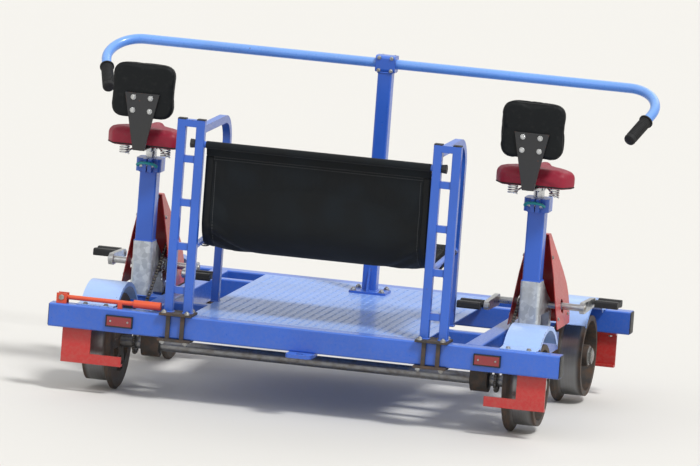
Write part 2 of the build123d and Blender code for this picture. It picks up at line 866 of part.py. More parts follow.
# Clamps that hold the bench posts on the rear beam: a plate above and below, four straps
post_mid_x = (post_inner_x + post_outer_x) / 2
strap_offset_y = (beam_depth + clamp_strap_thickness) / 2 + clamp_strap_gap
with BuildPart() as post_clamp:
    for z in (beam_top, beam_bottom - clamp_plate_thickness):
        with BuildSketch(Plane.XY.offset(z)):
            with Locations((post_mid_x, -beam_y)):
                Rectangle(clamp_plate_length, beam_depth + 2 * clamp_plate_overhang)
        extrude(amount=clamp_plate_thickness)
    with BuildSketch(Plane.XY.offset(beam_bottom)):
        with Locations((post_mid_x, -beam_y)):
            with GridLocations(clamp_strap_spacing, 2 * strap_offset_y, 2, 2):
                Rectangle(clamp_strap_width, clamp_strap_thickness)
    extrude(amount=beam_height)
save(both_sides(post_clamp.part), "post_clamps")

# Bench frame: an arm hoop each side, seat side tubes, a front tube and the rail of the canvas back
with BuildSketch() as hoop_profile:
    Rectangle(hoop_side, hoop_side)
hoop = bent_tube(
    Vector(hoop_x, post_front_y, arm_height),
    Vector(hoop_x, hoop_front_y, arm_height),
    Vector(hoop_x, hoop_front_y, beam_top),
    hoop_bend,
    hoop_profile.sketch,
)
seat_rear = Vector(hoop_x, post_front_y + seat_tube_gap, seat_rear_z)
seat_front = Vector(hoop_x, hoop_front_y, seat_front_z)
with BuildPart() as seat_tube:
    with BuildSketch(Plane(seat_rear, z_dir=seat_front - seat_rear)):
        Circle(seat_tube_radius)
    extrude(amount=(seat_front - seat_rear).length)
with BuildPart() as bench_frame:
    add(both_sides(hoop))
    add(both_sides(seat_tube.part))
    with BuildSketch(Plane.YZ.offset(-hoop_x)):
        with Locations((hoop_front_y, seat_front_z)):
            Circle(front_tube_radius)
    extrude(amount=2 * hoop_x)
    with BuildSketch(Plane.YZ.offset(-back_rail_end_x)):
        with Locations((post_front_y - back_rail_radius, sling_top - back_rail_drop)):
            Circle(back_rail_radius)
    extrude(amount=2 * back_rail_end_x)
save(bench_frame.part, "bench_frame")

# Canvas sling: back and seat in one piece, with a round bend between them
back_y = post_front_y + sling_gap
seat_end_y = hoop_front_y - front_tube_radius - sling_gap
seat_bottom_z = seat_rear_z - sling_thickness / 2
inner_bend = sling_bend - sling_thickness
bend_y = back_y + sling_bend
bend_z = seat_bottom_z + sling_bend
slant = cos(radians(45))
with BuildPart() as sling:
    with BuildSketch(Plane.YZ.offset(-sling_half_width)):
        with BuildLine():
            Polyline(
                (back_y, bend_z),
                (back_y, sling_top),
                (back_y + sling_thickness, sling_top),
                (back_y + sling_thickness, bend_z),
            )
            ThreePointArc(
                (back_y + sling_thickness, bend_z),
                (bend_y - inner_bend * slant, bend_z - inner_bend * slant),
                (bend_y, seat_bottom_z + sling_thickness),
            )
            Polyline(
                (bend_y, seat_bottom_z + sling_thickness),
                (seat_end_y, seat_front_z + sling_thickness / 2),
                (seat_end_y, seat_front_z - sling_thickness / 2),
                (bend_y, seat_bottom_z),
            )
            ThreePointArc(
                (bend_y, seat_bottom_z),
                (bend_y - sling_bend * slant, bend_z - sling_bend * slant),
                (back_y, bend_z),
            )
        make_face()
    extrude(amount=2 * sling_half_width)
save(sling.part, "bench_sling")

# Handlebar post: foot plate, square tube with two gussets, and a clamp block round the bar
clamp_outer = bar_radius + bar_clamp_wall
with BuildPart() as bar_post:
    with BuildSketch(Plane.XY.offset(beam_top)):
        with Locations((0, bar_y)):
            RectangleRounded(bar_foot_width, bar_foot_depth, bar_foot_corner)
    extrude(amount=bar_foot_thickness)
    with BuildSketch(Plane.XY.offset(beam_top)):
        with Locations((0, bar_y)):
            RectangleRounded(bar_post_side, bar_post_side, edge_round)
    extrude(amount=bar_z - clamp_outer - beam_top)
    with BuildSketch(Plane.YZ.offset(-bar_foot_thickness / 2)):
        with BuildLine():
            Polyline(
                (bar_y - bar_post_side / 2 - bar_gusset_reach, beam_top),
                (bar_y - bar_post_side / 2, beam_top + bar_gusset_height),
                (bar_y + bar_post_side / 2, beam_top + bar_gusset_height),
                (bar_y + bar_post_side / 2 + bar_gusset_reach, beam_top),
                close=True,
            )
        make_face()
    extrude(amount=bar_foot_thickness)
    with BuildSketch(Plane.YZ.offset(-bar_clamp_width / 2)):
        with Locations((bar_y, bar_z)):
            RectangleRounded(2 * clamp_outer, 2 * clamp_outer, bar_clamp_wall)
            Circle(bar_radius + bar_clamp_gap, mode=Mode.SUBTRACT)
    extrude(amount=bar_clamp_width)
save(bar_post.part, "handlebar_post")

# Handlebar: straight across the car, with swept-back ends
bar_corner = Vector(bar_corner_x, bar_y, bar_z)
bar_end = bar_corner - Vector(bar_sweep_in, bar_sweep_back, bar_sweep_drop)
with BuildSketch() as bar_profile:
    Circle(bar_radius)
half_bar = bent_tube(Vector(0, bar_y, bar_z), bar_corner, bar_end, bar_bend, bar_profile.sketch)
save(both_sides(half_bar), "handlebar")

end_way = (bar_end - bar_corner).normalized()
with BuildPart() as grip:
    with BuildSketch(Plane(bar_end - end_way * (grip_length - grip_cap), z_dir=end_way)):
        Circle(grip_radius)
        Circle(bar_radius, mode=Mode.SUBTRACT)
    extrude(amount=grip_length - grip_cap)
    with BuildSketch(Plane(bar_end, z_dir=end_way)):
        Circle(grip_radius)
    extrude(amount=grip_cap)
save(both_sides(grip.part), "grips")

# Mudguards: a folded sheet bent round each wheel, with a foot on the beam
near_angle = radians(90 - guard_near_angle)
near_way = (0, cos(near_angle), sin(near_angle))
guard_start = Plane((0, axle_y, axle_z), x_dir=(1, 0, 0), z_dir=(0, -near_way[2], near_way[1]))
guard_outer = guard_radius + guard_wall
with BuildPart() as mudguard:
    with BuildSketch(guard_start):
        with BuildLine():
            Polyline(
                (guard_inner_x, guard_outer),
                (guard_inner_x + guard_width, guard_outer),
                (guard_inner_x + guard_width, guard_radius - guard_lip),
                (guard_inner_x + guard_width - guard_wall, guard_radius - guard_lip),
                (guard_inner_x + guard_width - guard_wall, guard_radius),
                (guard_inner_x + guard_wall, guard_radius),
                (guard_inner_x + guard_wall, guard_radius - guard_lip),
                (guard_inner_x, guard_radius - guard_lip),
                close=True,
            )
        make_face()
    revolve(
        axis=Axis((0, axle_y, axle_z), (1, 0, 0)),
        revolution_arc=guard_near_angle + guard_far_angle,
    )
    with BuildSketch(Plane.YZ.offset(guard_inner_x)):
        with BuildLine():
            Polyline(
                (axle_y + guard_radius * near_way[1], axle_z + guard_radius * near_way[2]),
                (axle_y + guard_outer * near_way[1], axle_z + guard_outer * near_way[2]),
                (beam_inner_y, beam_top + guard_wall),
                (beam_inner_y + guard_foot, beam_top + guard_wall),
                (beam_inner_y + guard_foot, beam_top),
                (beam_inner_y, beam_top),
                close=True,
            )
        make_face()
    extrude(amount=guard_width)
save(four_corners(mudguard.part), "mudguards")

# Rail guards: an L-shaped plate with a flange, hung under each end of the beams
plate_inner_x = rail_guard_outer_x - rail_guard_plate_width
with BuildPart() as rail_guard:
    with BuildSketch(Plane.XZ.offset(-beam_y - rail_guard_thickness / 2)):
        with BuildLine():
            Polyline(
                (rail_guard_outer_x, beam_bottom),
                (rail_guard_outer_x, rail_guard_bottom),
                (rail_guard_inner_x, rail_guard_bottom),
                (rail_guard_inner_x, rail_guard_bottom + rail_guard_bar_height),
                (plate_inner_x, rail_guard_bottom + rail_guard_bar_height),
                (plate_inner_x, beam_bottom),
                close=True,
            )
        make_face()
    extrude(amount=rail_guard_thickness)
    for z, inner_x in (
        # height, inner end
        (beam_bottom - rail_guard_thickness, plate_inner_x),
        (rail_guard_bottom, rail_guard_inner_x),
    ):
        with BuildSketch(Plane.XY.offset(z)):
            with Locations(((inner_x + rail_guard_outer_x) / 2, beam_y - rail_guard_flange / 2)):
                Rectangle(rail_guard_outer_x - inner_x, rail_guard_flange)
        extrude(amount=rail_guard_thickness)
save(four_corners(rail_guard.part), "rail_guards")

# Reflectors on the rear beam
with BuildPart() as reflectors:
    with BuildSketch(Plane.XZ.offset(beam_y + beam_depth / 2)):
        with Locations((-reflector_x, beam_mid_z), (reflector_x, beam_mid_z)):
            RectangleRounded(reflector_width, reflector_height, reflector_corner)
    extrude(amount=reflector_depth)
save(reflectors.part, "reflectors")

# Parking brake lever along the top of the rear beam, between two cheeks and on a rest
cheek_top = lever_z + lever_eye_radius
with BuildPart() as brake_lever:
    with BuildSketch(Plane.YZ.offset(-lever_pivot_x)):
        with Locations((-beam_y, lever_z)):
            Circle(lever_radius)
    extrude(amount=lever_pivot_x - lever_end_x)
    with BuildSketch(Plane.YZ.offset(-lever_end_x - lever_grip_length)):
        with Locations((-beam_y, lever_z)):
            Circle(lever_grip_radius)
    extrude(amount=lever_grip_length)
    with BuildSketch(Plane.XZ.offset(beam_y - lever_cheek_gap / 2 - lever_cheek)):
        with Locations((-lever_pivot_x, (beam_top + cheek_top) / 2)):
            Rectangle(lever_cheek_length, cheek_top - beam_top)
    extrude(amount=lever_cheek)
    with BuildSketch(Plane.XZ.offset(beam_y + lever_cheek_gap / 2)):
        with Locations((-lever_pivot_x, (beam_top + cheek_top) / 2)):
            Rectangle(lever_cheek_length, cheek_top - beam_top)
    extrude(amount=lever_cheek)
    with BuildSketch(Plane.XZ.offset(beam_y - lever_cheek_gap / 2 - lever_cheek)):
        with Locations((-lever_pivot_x, lever_z)):
            Circle(lever_radius)
    extrude(amount=lever_cheek_gap + 2 * lever_cheek)
    with BuildSketch(Plane.YZ.offset(-lever_rest_x - lever_rest_length)):
        with Locations((-beam_y, (beam_top + lever_z) / 2)):
            Rectangle(2 * lever_radius, lever_z - beam_top)
    extrude(amount=lever_rest_length)
save(brake_lever.part, "brake_lever")
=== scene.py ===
import math

import bmesh
import bpy
from mathutils import Matrix, Vector


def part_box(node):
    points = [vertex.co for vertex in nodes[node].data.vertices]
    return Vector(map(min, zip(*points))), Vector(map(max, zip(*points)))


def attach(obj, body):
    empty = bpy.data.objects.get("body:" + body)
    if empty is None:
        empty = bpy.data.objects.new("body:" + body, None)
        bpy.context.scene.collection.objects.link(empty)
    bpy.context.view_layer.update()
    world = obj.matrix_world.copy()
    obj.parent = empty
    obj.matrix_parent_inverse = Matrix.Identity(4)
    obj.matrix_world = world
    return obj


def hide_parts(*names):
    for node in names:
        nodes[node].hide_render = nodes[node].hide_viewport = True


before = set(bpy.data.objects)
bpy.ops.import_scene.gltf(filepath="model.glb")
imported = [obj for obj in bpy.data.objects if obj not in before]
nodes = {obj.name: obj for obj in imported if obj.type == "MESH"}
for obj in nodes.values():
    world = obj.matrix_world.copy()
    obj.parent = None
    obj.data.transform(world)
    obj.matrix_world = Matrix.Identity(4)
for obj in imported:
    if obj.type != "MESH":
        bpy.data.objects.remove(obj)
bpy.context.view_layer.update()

sides = {"left": -1, "right": 1}


# Colours and patterns

def paint(hexColour):
    # an sRGB hex value as the linear colour that the shader wants
    parts = [int(hexColour[i:i + 2], 16) / 255 for i in (1, 3, 5)]
    linear = [c / 12.92 if c <= 0.04045 else ((c + 0.055) / 1.055) ** 2.4 for c in parts]
    return (*linear, 1.0)


def perMetre(millimetres):
    # texture scale whose features are this many millimetres wide
    return 1000 / millimetres


def addNode(mat, kind, inputs=None, output=0, **settings):
    # adds one node to a material or the world, sets or links its inputs and gives back one output;
    # by number they are, for MapRange, 0 value, 1 and 2 from, 3 and 4 to, and for Mix, 0 share,
    # 6 and 7 the two colours
    node = mat.node_tree.nodes.new("ShaderNode" + kind)
    for key, value in settings.items():
        setattr(node, key, value)
    for key, value in (inputs or {}).items():
        if isinstance(value, bpy.types.NodeSocket):
            mat.node_tree.links.new(value, node.inputs[key])
        else:
            node.inputs[key].default_value = value
    return node.outputs[output]


def newMaterial(name, **fixed):
    # a material whose fixed values sit on the shader's own sockets
    mat = bpy.data.materials.new(name)
    mat.use_nodes = True
    for key, value in fixed.items():
        mat.node_tree.nodes["Principled BSDF"].inputs[key.replace("_", " ")].default_value = value
    return mat


def finishMaterial(mat, colour, layers, dull, reliefs, edgeRound=0.0, metallic=None):
    # lays colours over the ground by their shares, and bumps by their height and depth in metres;
    # a bump with a negative depth sinks where its height is 1
    shader = mat.node_tree.nodes["Principled BSDF"]
    base = paint(colour)
    for share, layer in layers:
        base = addNode(mat, "Mix", {0: share, 6: base, 7: paint(layer)}, 2, data_type="RGBA")
    normal = addNode(mat, "Bevel", {"Radius": edgeRound}, samples=4) if edgeRound else None
    for height, depth in reliefs:
        settings = {"Height": height, "Distance": abs(depth)}
        if normal:
            settings["Normal"] = normal
        normal = addNode(mat, "Bump", settings, invert=depth < 0)
    joined = {"Base Color": base, "Roughness": dull, "Normal": normal, "Metallic": metallic}
    for socket, value in joined.items():
        if value:
            mat.node_tree.links.new(value, shader.inputs[socket])
    return mat


def edgeShare(mat, radius):
    # 1 along an edge within radius metres, 0 on flat metal
    normal = addNode(mat, "NewGeometry", output="Normal")
    rounded = addNode(mat, "Bevel", {"Radius": radius}, samples=4)
    same = addNode(mat, "VectorMath", {0: normal, 1: rounded}, "Value", operation="DOT_PRODUCT")
    return addNode(mat, "MapRange", {0: same, 1: 0.995, 2: 0.80})


# Brushed enamel on steel tube: glossy, with a painted highlight that lightens what faces up, chipped at
# edges, dusty low down.
# Brush marks are about 1 mm wide and would not show, so they are drawn 3.5 mm wide. Sizes are in
# millimetres, depths, reaches and heights in metres
enamel = {
    "ior": 1.5, "coat": 0.35, "coatRoughness": 0.12, "edgeRound": 0.0016,
    "peelSize": 3.5, "peelDepth": 0.00006,
    "patchSize": 260, "shadeColour": "#000028", "shade": 0.16, "dulled": 0.22,
    "grimeSize": 9, "dustTop": 0.42, "dustFull": 0.08, "dustColour": "#8E8271",
    "chipReach": 0.0030, "chipSize": 12, "chipDepth": 0.00015, "chipRoughness": 0.45,
    "knockSpacing": 45, "knockRim": 0.050, "knockCore": 0.035, "rustColour": "#5B3522",
}


# the second colour is a painted highlight, laid on faces that look up
def enamelPaint(name, colour, paintedHighlightColour, roughness=0.26, dust=0.24, chips=1.0):
    mat = newMaterial(name, IOR=enamel["ior"], Coat_Weight=enamel["coat"],
                      Coat_Roughness=enamel["coatRoughness"])
    place = addNode(mat, "TexCoord", output="Object")
    facing = addNode(mat, "SeparateXYZ", {0: addNode(mat, "NewGeometry", output="Normal")}, "Z")
    height = addNode(mat, "SeparateXYZ", {0: place}, "Z")

    # painted highlight: what faces up is painted in a lighter colour, in wide patches, standing for light
    # from above
    patches = addNode(mat, "TexNoise", {"Vector": place, "Detail": 4.0,
                                        "Scale": perMetre(enamel["patchSize"])})
    upwards = addNode(mat, "MapRange", {0: facing, 1: 0.1, 2: 0.9})
    uneven = addNode(mat, "MapRange", {0: patches, 1: 0.3, 2: 0.7, 3: 0.55})
    paintedHighlightShare = addNode(mat, "Math", {0: upwards, 1: uneven}, operation="MULTIPLY")
    shade = addNode(mat, "MapRange", {0: patches, 1: 0.35, 2: 0.65, 4: enamel["shade"]})

    # dust thickens lower down
    grime = addNode(mat, "TexNoise", {"Vector": place, "Scale": perMetre(enamel["grimeSize"]),
                                      "Detail": 8.0, "Roughness": 0.65})
    low = addNode(mat, "MapRange", {0: height, 1: enamel["dustTop"], 2: enamel["dustFull"], 4: dust})
    spread = addNode(mat, "MapRange", {0: grime, 1: 0.42, 2: 0.72})
    dusty = addNode(mat, "Math", {0: spread, 1: low}, operation="MULTIPLY")

    # chips along the edges and a few knocks on the faces show brown primer
    flakes = addNode(mat, "TexNoise", {"Vector": place, "Scale": perMetre(enamel["chipSize"]),
                                       "Detail": 8.0, "Roughness": 0.7})
    torn = addNode(mat, "MapRange", {0: flakes, 1: 0.52, 2: 0.56})
    edge = addNode(mat, "MapRange", {0: edgeShare(mat, enamel["chipReach"]), 1: 0.15, 2: 0.4})
    edgeChips = addNode(mat, "Math", {0: torn, 1: edge}, operation="MULTIPLY")
    cells = addNode(mat, "TexVoronoi", {"Vector": place, "Scale": perMetre(enamel["knockSpacing"])})
    spots = addNode(mat, "MapRange", {0: cells, 1: enamel["knockRim"], 2: enamel["knockCore"]})
    rare = addNode(mat, "MapRange", {0: patches, 1: 0.50, 2: 0.52})
    knocks = addNode(mat, "Math", {0: spots, 1: rare}, operation="MULTIPLY")
    either = addNode(mat, "Math", {0: edgeChips, 1: knocks}, operation="MAXIMUM")
    chipped = addNode(mat, "Math", {0: either, 1: chips}, operation="MULTIPLY")

    gloss = addNode(mat, "MapRange", {0: grime, 1: 0.3, 2: 0.75, 3: roughness,
                                      4: roughness + enamel["dulled"]})
    dull = addNode(mat, "Math", {0: gloss, 1: dusty}, operation="ADD")
    dull = addNode(mat, "Math", {0: chipped, 1: enamel["chipRoughness"], 2: dull},
                   operation="MULTIPLY_ADD")
    brushed = addNode(mat, "TexNoise", {"Vector": place, "Scale": perMetre(enamel["peelSize"])})
    # the first layer is the painted highlight on upward faces
    layers = ((paintedHighlightShare, paintedHighlightColour), (shade, enamel["shadeColour"]), (dusty, enamel["dustColour"]),
              (chipped, enamel["rustColour"]))
    reliefs = ((brushed, enamel["peelDepth"]), (chipped, -enamel["chipDepth"]))
    return finishMaterial(mat, colour, layers, dull, reliefs, enamel["edgeRound"])


# Hot-dip galvanised steel: pale flowery crystals, each a little brighter or duller, with brown
# stains. The zinc's ripple of 1 mm is drawn 4 mm wide, to show
zincLook = {"crystal": 14, "dark": "#AEB4BA", "bright": "#D3D8DC", "stain": "#8C8779", "stainSize": 60,
            "stained": 0.35, "smooth": 0.38, "rough": 0.55, "metallic": 0.75, "edgeRound": 0.0016,
            "grain": 4, "grainDepth": 0.00008}


def galvanisedZinc(name):
    mat = newMaterial(name, Metallic=zincLook["metallic"])
    place = addNode(mat, "TexCoord", output="Object")
    crystals = addNode(mat, "TexVoronoi", {"Vector": place, "Scale": perMetre(zincLook["crystal"])},
                       "Color")
    tone = addNode(mat, "MapRange", {0: crystals, 1: 0.1, 2: 0.9})
    clouds = addNode(mat, "TexNoise", {"Vector": place, "Detail": 4.0,
                                       "Scale": perMetre(zincLook["stainSize"])})
    stained = addNode(mat, "MapRange", {0: clouds, 1: 0.5, 2: 0.75, 4: zincLook["stained"]})
    dull = addNode(mat, "MapRange", {0: tone, 3: zincLook["smooth"], 4: zincLook["rough"]})
    grain = addNode(mat, "TexNoise", {"Vector": place, "Scale": perMetre(zincLook["grain"])})
    layers = ((tone, zincLook["bright"]), (stained, zincLook["stain"]))
    return finishMaterial(mat, zincLook["dark"], layers, dull, ((grain, zincLook["grainDepth"]),),
                          zincLook["edgeRound"])


# Machined or plated steel that is handled and oiled: bright, finely scratched, with brown tints.
# Real scratches are 0.1 mm wide and would not show, so they are drawn 1.2 mm wide
steelLook = {"cloudSize": 18, "dulled": 0.28, "edgeRound": 0.0012, "scratch": 1.2,
             "scratchDepth": 0.00005}


def workedSteel(name, colour, tint, roughness=0.30, tinted=0.5):
    mat = newMaterial(name, Metallic=1.0)
    place = addNode(mat, "TexCoord", output="Object")
    clouds = addNode(mat, "TexNoise", {"Vector": place, "Detail": 6.0,
                                       "Scale": perMetre(steelLook["cloudSize"])})
    share = addNode(mat, "MapRange", {0: clouds, 1: 0.42, 2: 0.75, 4: tinted})
    dull = addNode(mat, "MapRange", {0: clouds, 1: 0.3, 2: 0.75, 3: roughness,
                                     4: roughness + steelLook["dulled"]})
    scratches = addNode(mat, "TexNoise", {"Vector": place, "Detail": 3.0,
                                          "Scale": perMetre(steelLook["scratch"])})
    return finishMaterial(mat, colour, ((share, tint),), dull, ((scratches, steelLook["scratchDepth"]),),
                          steelLook["edgeRound"])


# Sand-cast iron: dark grainy skin under brown dust. The sand's grains of 0.4 mm are drawn 2.2 mm
# wide, because finer ones would not show
castSkin = {"skin": "#34302D", "dust": "#5E4736", "dusted": 0.85, "cloudSize": 30, "smooth": 0.52,
            "rough": 0.82, "sandSize": 2.2, "sandDepth": 0.00035, "edgeRound": 0.002}
# Rolling keeps a band of a wheel's tread polished: axle height, tread radius and the band's edges
# are in metres
runningBand = {"axleZ": 0.165, "treadRadius": 0.140, "depth": 0.004, "inner": 0.712, "outer": 0.774,
               "fade": 0.006, "colour": "#8D8E8F", "roughness": 0.34, "streak": 2.5}


def castIron(name, axleY=None):
    mat = newMaterial(name)
    place = addNode(mat, "TexCoord", output="Object")
    clouds = addNode(mat, "TexNoise", {"Vector": place, "Scale": perMetre(castSkin["cloudSize"]),
                                       "Detail": 7.0, "Roughness": 0.65})
    dusted = addNode(mat, "MapRange", {0: clouds, 1: 0.42, 2: 0.70, 4: castSkin["dusted"]})
    layers = [(dusted, castSkin["dust"])]
    dull = addNode(mat, "MapRange", {0: clouds, 1: 0.3, 2: 0.7, 3: castSkin["smooth"],
                                     4: castSkin["rough"]})
    grains = addNode(mat, "TexNoise", {"Vector": place, "Detail": 3.0,
                                       "Scale": perMetre(castSkin["sandSize"])})
    sand = addNode(mat, "MapRange", {0: grains, 1: 0.2, 2: 0.8})
    worn = None
    if axleY is not None:
        worn = polishedBand(mat, place, axleY)
        layers.append((worn, runningBand["colour"]))
        dull = addNode(mat, "Mix", {0: worn, 2: dull, 3: runningBand["roughness"]})
        left = addNode(mat, "Math", {0: 1.0, 1: worn}, operation="SUBTRACT")
        sand = addNode(mat, "Math", {0: sand, 1: left}, operation="MULTIPLY")
    return finishMaterial(mat, castSkin["skin"], layers, dull, ((sand, castSkin["sandDepth"]),),
                          castSkin["edgeRound"], metallic=worn)


def polishedBand(mat, place, axleY):
    # 1 on the middle of the tread of the wheels on this axle, with streaks round it
    spread = {axis: addNode(mat, "SeparateXYZ", {0: place}, axis) for axis in "XYZ"}
    across = addNode(mat, "Math", {0: spread["X"]}, operation="ABSOLUTE")
    aside = addNode(mat, "Math", {0: spread["Y"], 1: axleY}, operation="SUBTRACT")
    above = addNode(mat, "Math", {0: spread["Z"], 1: runningBand["axleZ"]}, operation="SUBTRACT")
    arm = addNode(mat, "CombineXYZ", {0: aside, 1: above})
    away = addNode(mat, "VectorMath", {0: arm}, "Value", operation="LENGTH")
    rim, depth, fade = runningBand["treadRadius"], runningBand["depth"], runningBand["fade"]
    limits = ((across, runningBand["inner"] - fade, runningBand["inner"] + fade),
              (across, runningBand["outer"] + fade, runningBand["outer"] - fade),
              (away, rim - depth, rim - depth / 2))
    ringed = addNode(mat, "CombineXYZ", {0: across, 1: away})
    streaks = addNode(mat, "TexNoise", {"Vector": ringed, "Scale": perMetre(runningBand["streak"])})
    share = addNode(mat, "MapRange", {0: streaks, 1: 0.30, 2: 0.60, 3: 0.70, 4: 0.95})
    for value, outside, inside in limits:
        within = addNode(mat, "MapRange", {0: value, 1: outside, 2: inside})
        share = addNode(mat, "Math", {0: share, 1: within}, operation="MULTIPLY")
    return share


# Moulded plastic, rubber and vinyl: dull, with a pebbled grain and paler scuffs. A real grain is
# 0.3 to 0.8 mm wide; it is drawn at 1 to 2.4 mm where a finer one would not show
mouldedLook = {"scuff": "#5C5A57", "scuffSize": 14, "dulled": 0.22, "edgeRound": 0.001}


def mouldedPlastic(name, colour, grain, depth, roughness=0.5, gloss=0.4, scuffed=0.30):
    # grain in millimetres, depth in metres
    mat = newMaterial(name, Specular_IOR_Level=gloss)
    place = addNode(mat, "TexCoord", output="Object")
    scuffs = addNode(mat, "TexNoise", {"Vector": place, "Scale": perMetre(mouldedLook["scuffSize"]),
                                       "Detail": 6.0, "Roughness": 0.7})
    share = addNode(mat, "MapRange", {0: scuffs, 1: 0.52, 2: 0.8, 4: scuffed})
    dull = addNode(mat, "MapRange", {0: scuffs, 1: 0.3, 2: 0.75, 3: roughness,
                                     4: roughness + mouldedLook["dulled"]})
    pebbles = addNode(mat, "TexVoronoi", {"Vector": place, "Scale": perMetre(grain)})
    return finishMaterial(mat, colour, ((share, mouldedLook["scuff"]),), dull, ((pebbles, depth),),
                          mouldedLook["edgeRound"])


# Woven canvas: black yarn over and under, greyed by wear; its UV map "cloth" is in metres. The yarn
# is 0.6 mm thick and would not show, so it is drawn 1.6 mm thick
weave = {"yarn": 1.6, "depth": 0.00022, "black": "#0A0E11", "faded": "#141A1F", "dust": "#3A3833",
         "dusted": 0.25, "smooth": 0.62, "rough": 0.80, "wearSize": 120, "lintSize": 5,
         "foldDepth": 0.001, "gloss": 0.2, "sheen": 0.06}


def wovenCanvas(name):
    mat = newMaterial(name, Sheen_Weight=weave["sheen"], Specular_IOR_Level=weave["gloss"])
    place = addNode(mat, "TexCoord", output="Object")
    cloth = addNode(mat, "UVMap", output="UV", uv_map="cloth")
    waves = []
    for axis in "XY":
        along = addNode(mat, "SeparateXYZ", {0: cloth}, axis)
        turns = 2 * math.pi * perMetre(weave["yarn"])
        turn = addNode(mat, "Math", {0: along, 1: turns}, operation="MULTIPLY")
        waves.append(addNode(mat, "Math", {0: turn}, operation="SINE"))
    over = addNode(mat, "Math", {0: waves[0], 1: waves[1]}, operation="MULTIPLY")
    wear = addNode(mat, "TexNoise", {"Vector": place, "Detail": 5.0,
                                     "Scale": perMetre(weave["wearSize"])})
    greyed = addNode(mat, "MapRange", {0: wear, 1: 0.40, 2: 0.70})
    lint = addNode(mat, "TexNoise", {"Vector": place, "Scale": perMetre(weave["lintSize"]),
                                     "Detail": 6.0, "Roughness": 0.7})
    specks = addNode(mat, "MapRange", {0: lint, 1: 0.60, 2: 0.80, 4: weave["dusted"]})
    dull = addNode(mat, "MapRange", {0: wear, 1: 0.3, 2: 0.7, 3: weave["smooth"], 4: weave["rough"]})
    layers = ((greyed, weave["faded"]), (specks, weave["dust"]))
    return finishMaterial(mat, weave["black"], layers, dull,
                          ((wear, weave["foldDepth"]), (over, weave["depth"])))


# Moulded acrylic reflector: deep clear red over a grid of small prisms, each painted darker towards its
# rim, a painted shade and glint of the facets. The prisms are 2.5 mm wide and are drawn 4 mm wide, to show
prisms = {"ior": 1.49, "coat": 0.8, "coatRoughness": 0.05, "size": 4, "depth": 0.0006,
          "bright": "#C41F2B", "dark": "#7C0E1A", "smooth": 0.12, "rough": 0.26}


def reflectorAcrylic(name):
    mat = newMaterial(name, IOR=prisms["ior"], Coat_Weight=prisms["coat"],
                      Coat_Roughness=prisms["coatRoughness"])
    place = addNode(mat, "TexCoord", output="Object")
    cells = addNode(mat, "TexVoronoi", {"Vector": place, "Scale": perMetre(prisms["size"]),
                                        "Randomness": 0.0}, distance="MANHATTAN")
    # painted shade: each prism's colour darkens from its bright middle to its rim
    shade = addNode(mat, "MapRange", {0: cells, 1: 0.1, 2: 0.6})
    dull = addNode(mat, "MapRange", {0: shade, 3: prisms["smooth"], 4: prisms["rough"]})
    return finishMaterial(mat, prisms["bright"], ((shade, prisms["dark"]),), dull,
                          ((cells, prisms["depth"]),))


# each enamel's second colour is its painted highlight on upward faces
blueEnamel = enamelPaint("blue_enamel", "#285DC0", "#5585E6")
skyEnamel = enamelPaint("light_blue_enamel", "#84ADF0", "#B2CEFC", dust=0.44)
# the floor plate and its tread are darker copies of the light blue enamel, a painted shade for the shadow
# over the floor under the bench; the tread bars are painted a little lighter than the plate, a painted
# highlight on their raised tops
shadedFloorEnamel = enamelPaint("floor_enamel_painted_shade", "#6896E6", "#86AEF6", dust=0.44)
shadedTreadEnamel = enamelPaint("floor_tread_enamel_painted_shade", "#6F9CE9", "#8FB5F8", dust=0.44, chips=0.25)
redEnamel = enamelPaint("red_enamel", "#B3221F", "#C93A30", roughness=0.34)
orangeEnamel = enamelPaint("orange_enamel", "#D8431A", "#E8622F", roughness=0.32)
barEnamel = enamelPaint("handlebar_enamel", "#5E93E4", "#86B4F6", roughness=0.22, dust=0.10)
blackEnamel = enamelPaint("black_enamel", "#17191B", "#2A2D30", roughness=0.34)
zinc = galvanisedZinc("galvanised_zinc")
axleSteel = workedSteel("drawn_axle_steel", "#8E8F90", "#6A5646")
crankSteel = workedSteel("plated_crank_steel", "#B7BABD", "#7D7467", roughness=0.24, tinted=0.3)
chainSteel = workedSteel("oiled_chain_steel", "#6F6C67", "#3B332B", roughness=0.34)
postSteel = workedSteel("chromed_post_steel", "#C9CBCD", "#9A968F", roughness=0.12, tinted=0.25)
boltSteel = workedSteel("zinc_bolt_steel", "#A9ABAB", "#6E5B45", roughness=0.28, tinted=0.55)
housingIron = castIron("cast_housing_iron")
pedalPlastic = mouldedPlastic("moulded_pedal_plastic", "#1E1F21", 2.0, 0.0003)
capPlastic = mouldedPlastic("moulded_cap_plastic", "#1B1C1E", 2.0, 0.0002, roughness=0.4)
tealPlastic = mouldedPlastic("moulded_lever_plastic", "#1F8C93", 2.0, 0.0002, roughness=0.35)
gripRubber = mouldedPlastic("moulded_grip_rubber", "#17181A", 2.4, 0.0005, roughness=0.6)
padVinyl = mouldedPlastic("black_vinyl", "#0A0E11", 1.6, 0.0002, roughness=0.45, gloss=0.22, scuffed=0.12)
saddleVinyl = mouldedPlastic("red_vinyl", "#8E1630", 1.6, 0.0002, roughness=0.4)
stitchThread = mouldedPlastic("spun_stitch_thread", "#6E6F70", 0.6, 0.0001, roughness=0.7)
lacingCord = mouldedPlastic("braided_lacing_cord", "#2B2C2D", 1.0, 0.0003, roughness=0.75)
canvasCloth = wovenCanvas("woven_black_canvas")
lensAcrylic = reflectorAcrylic("reflector_acrylic")

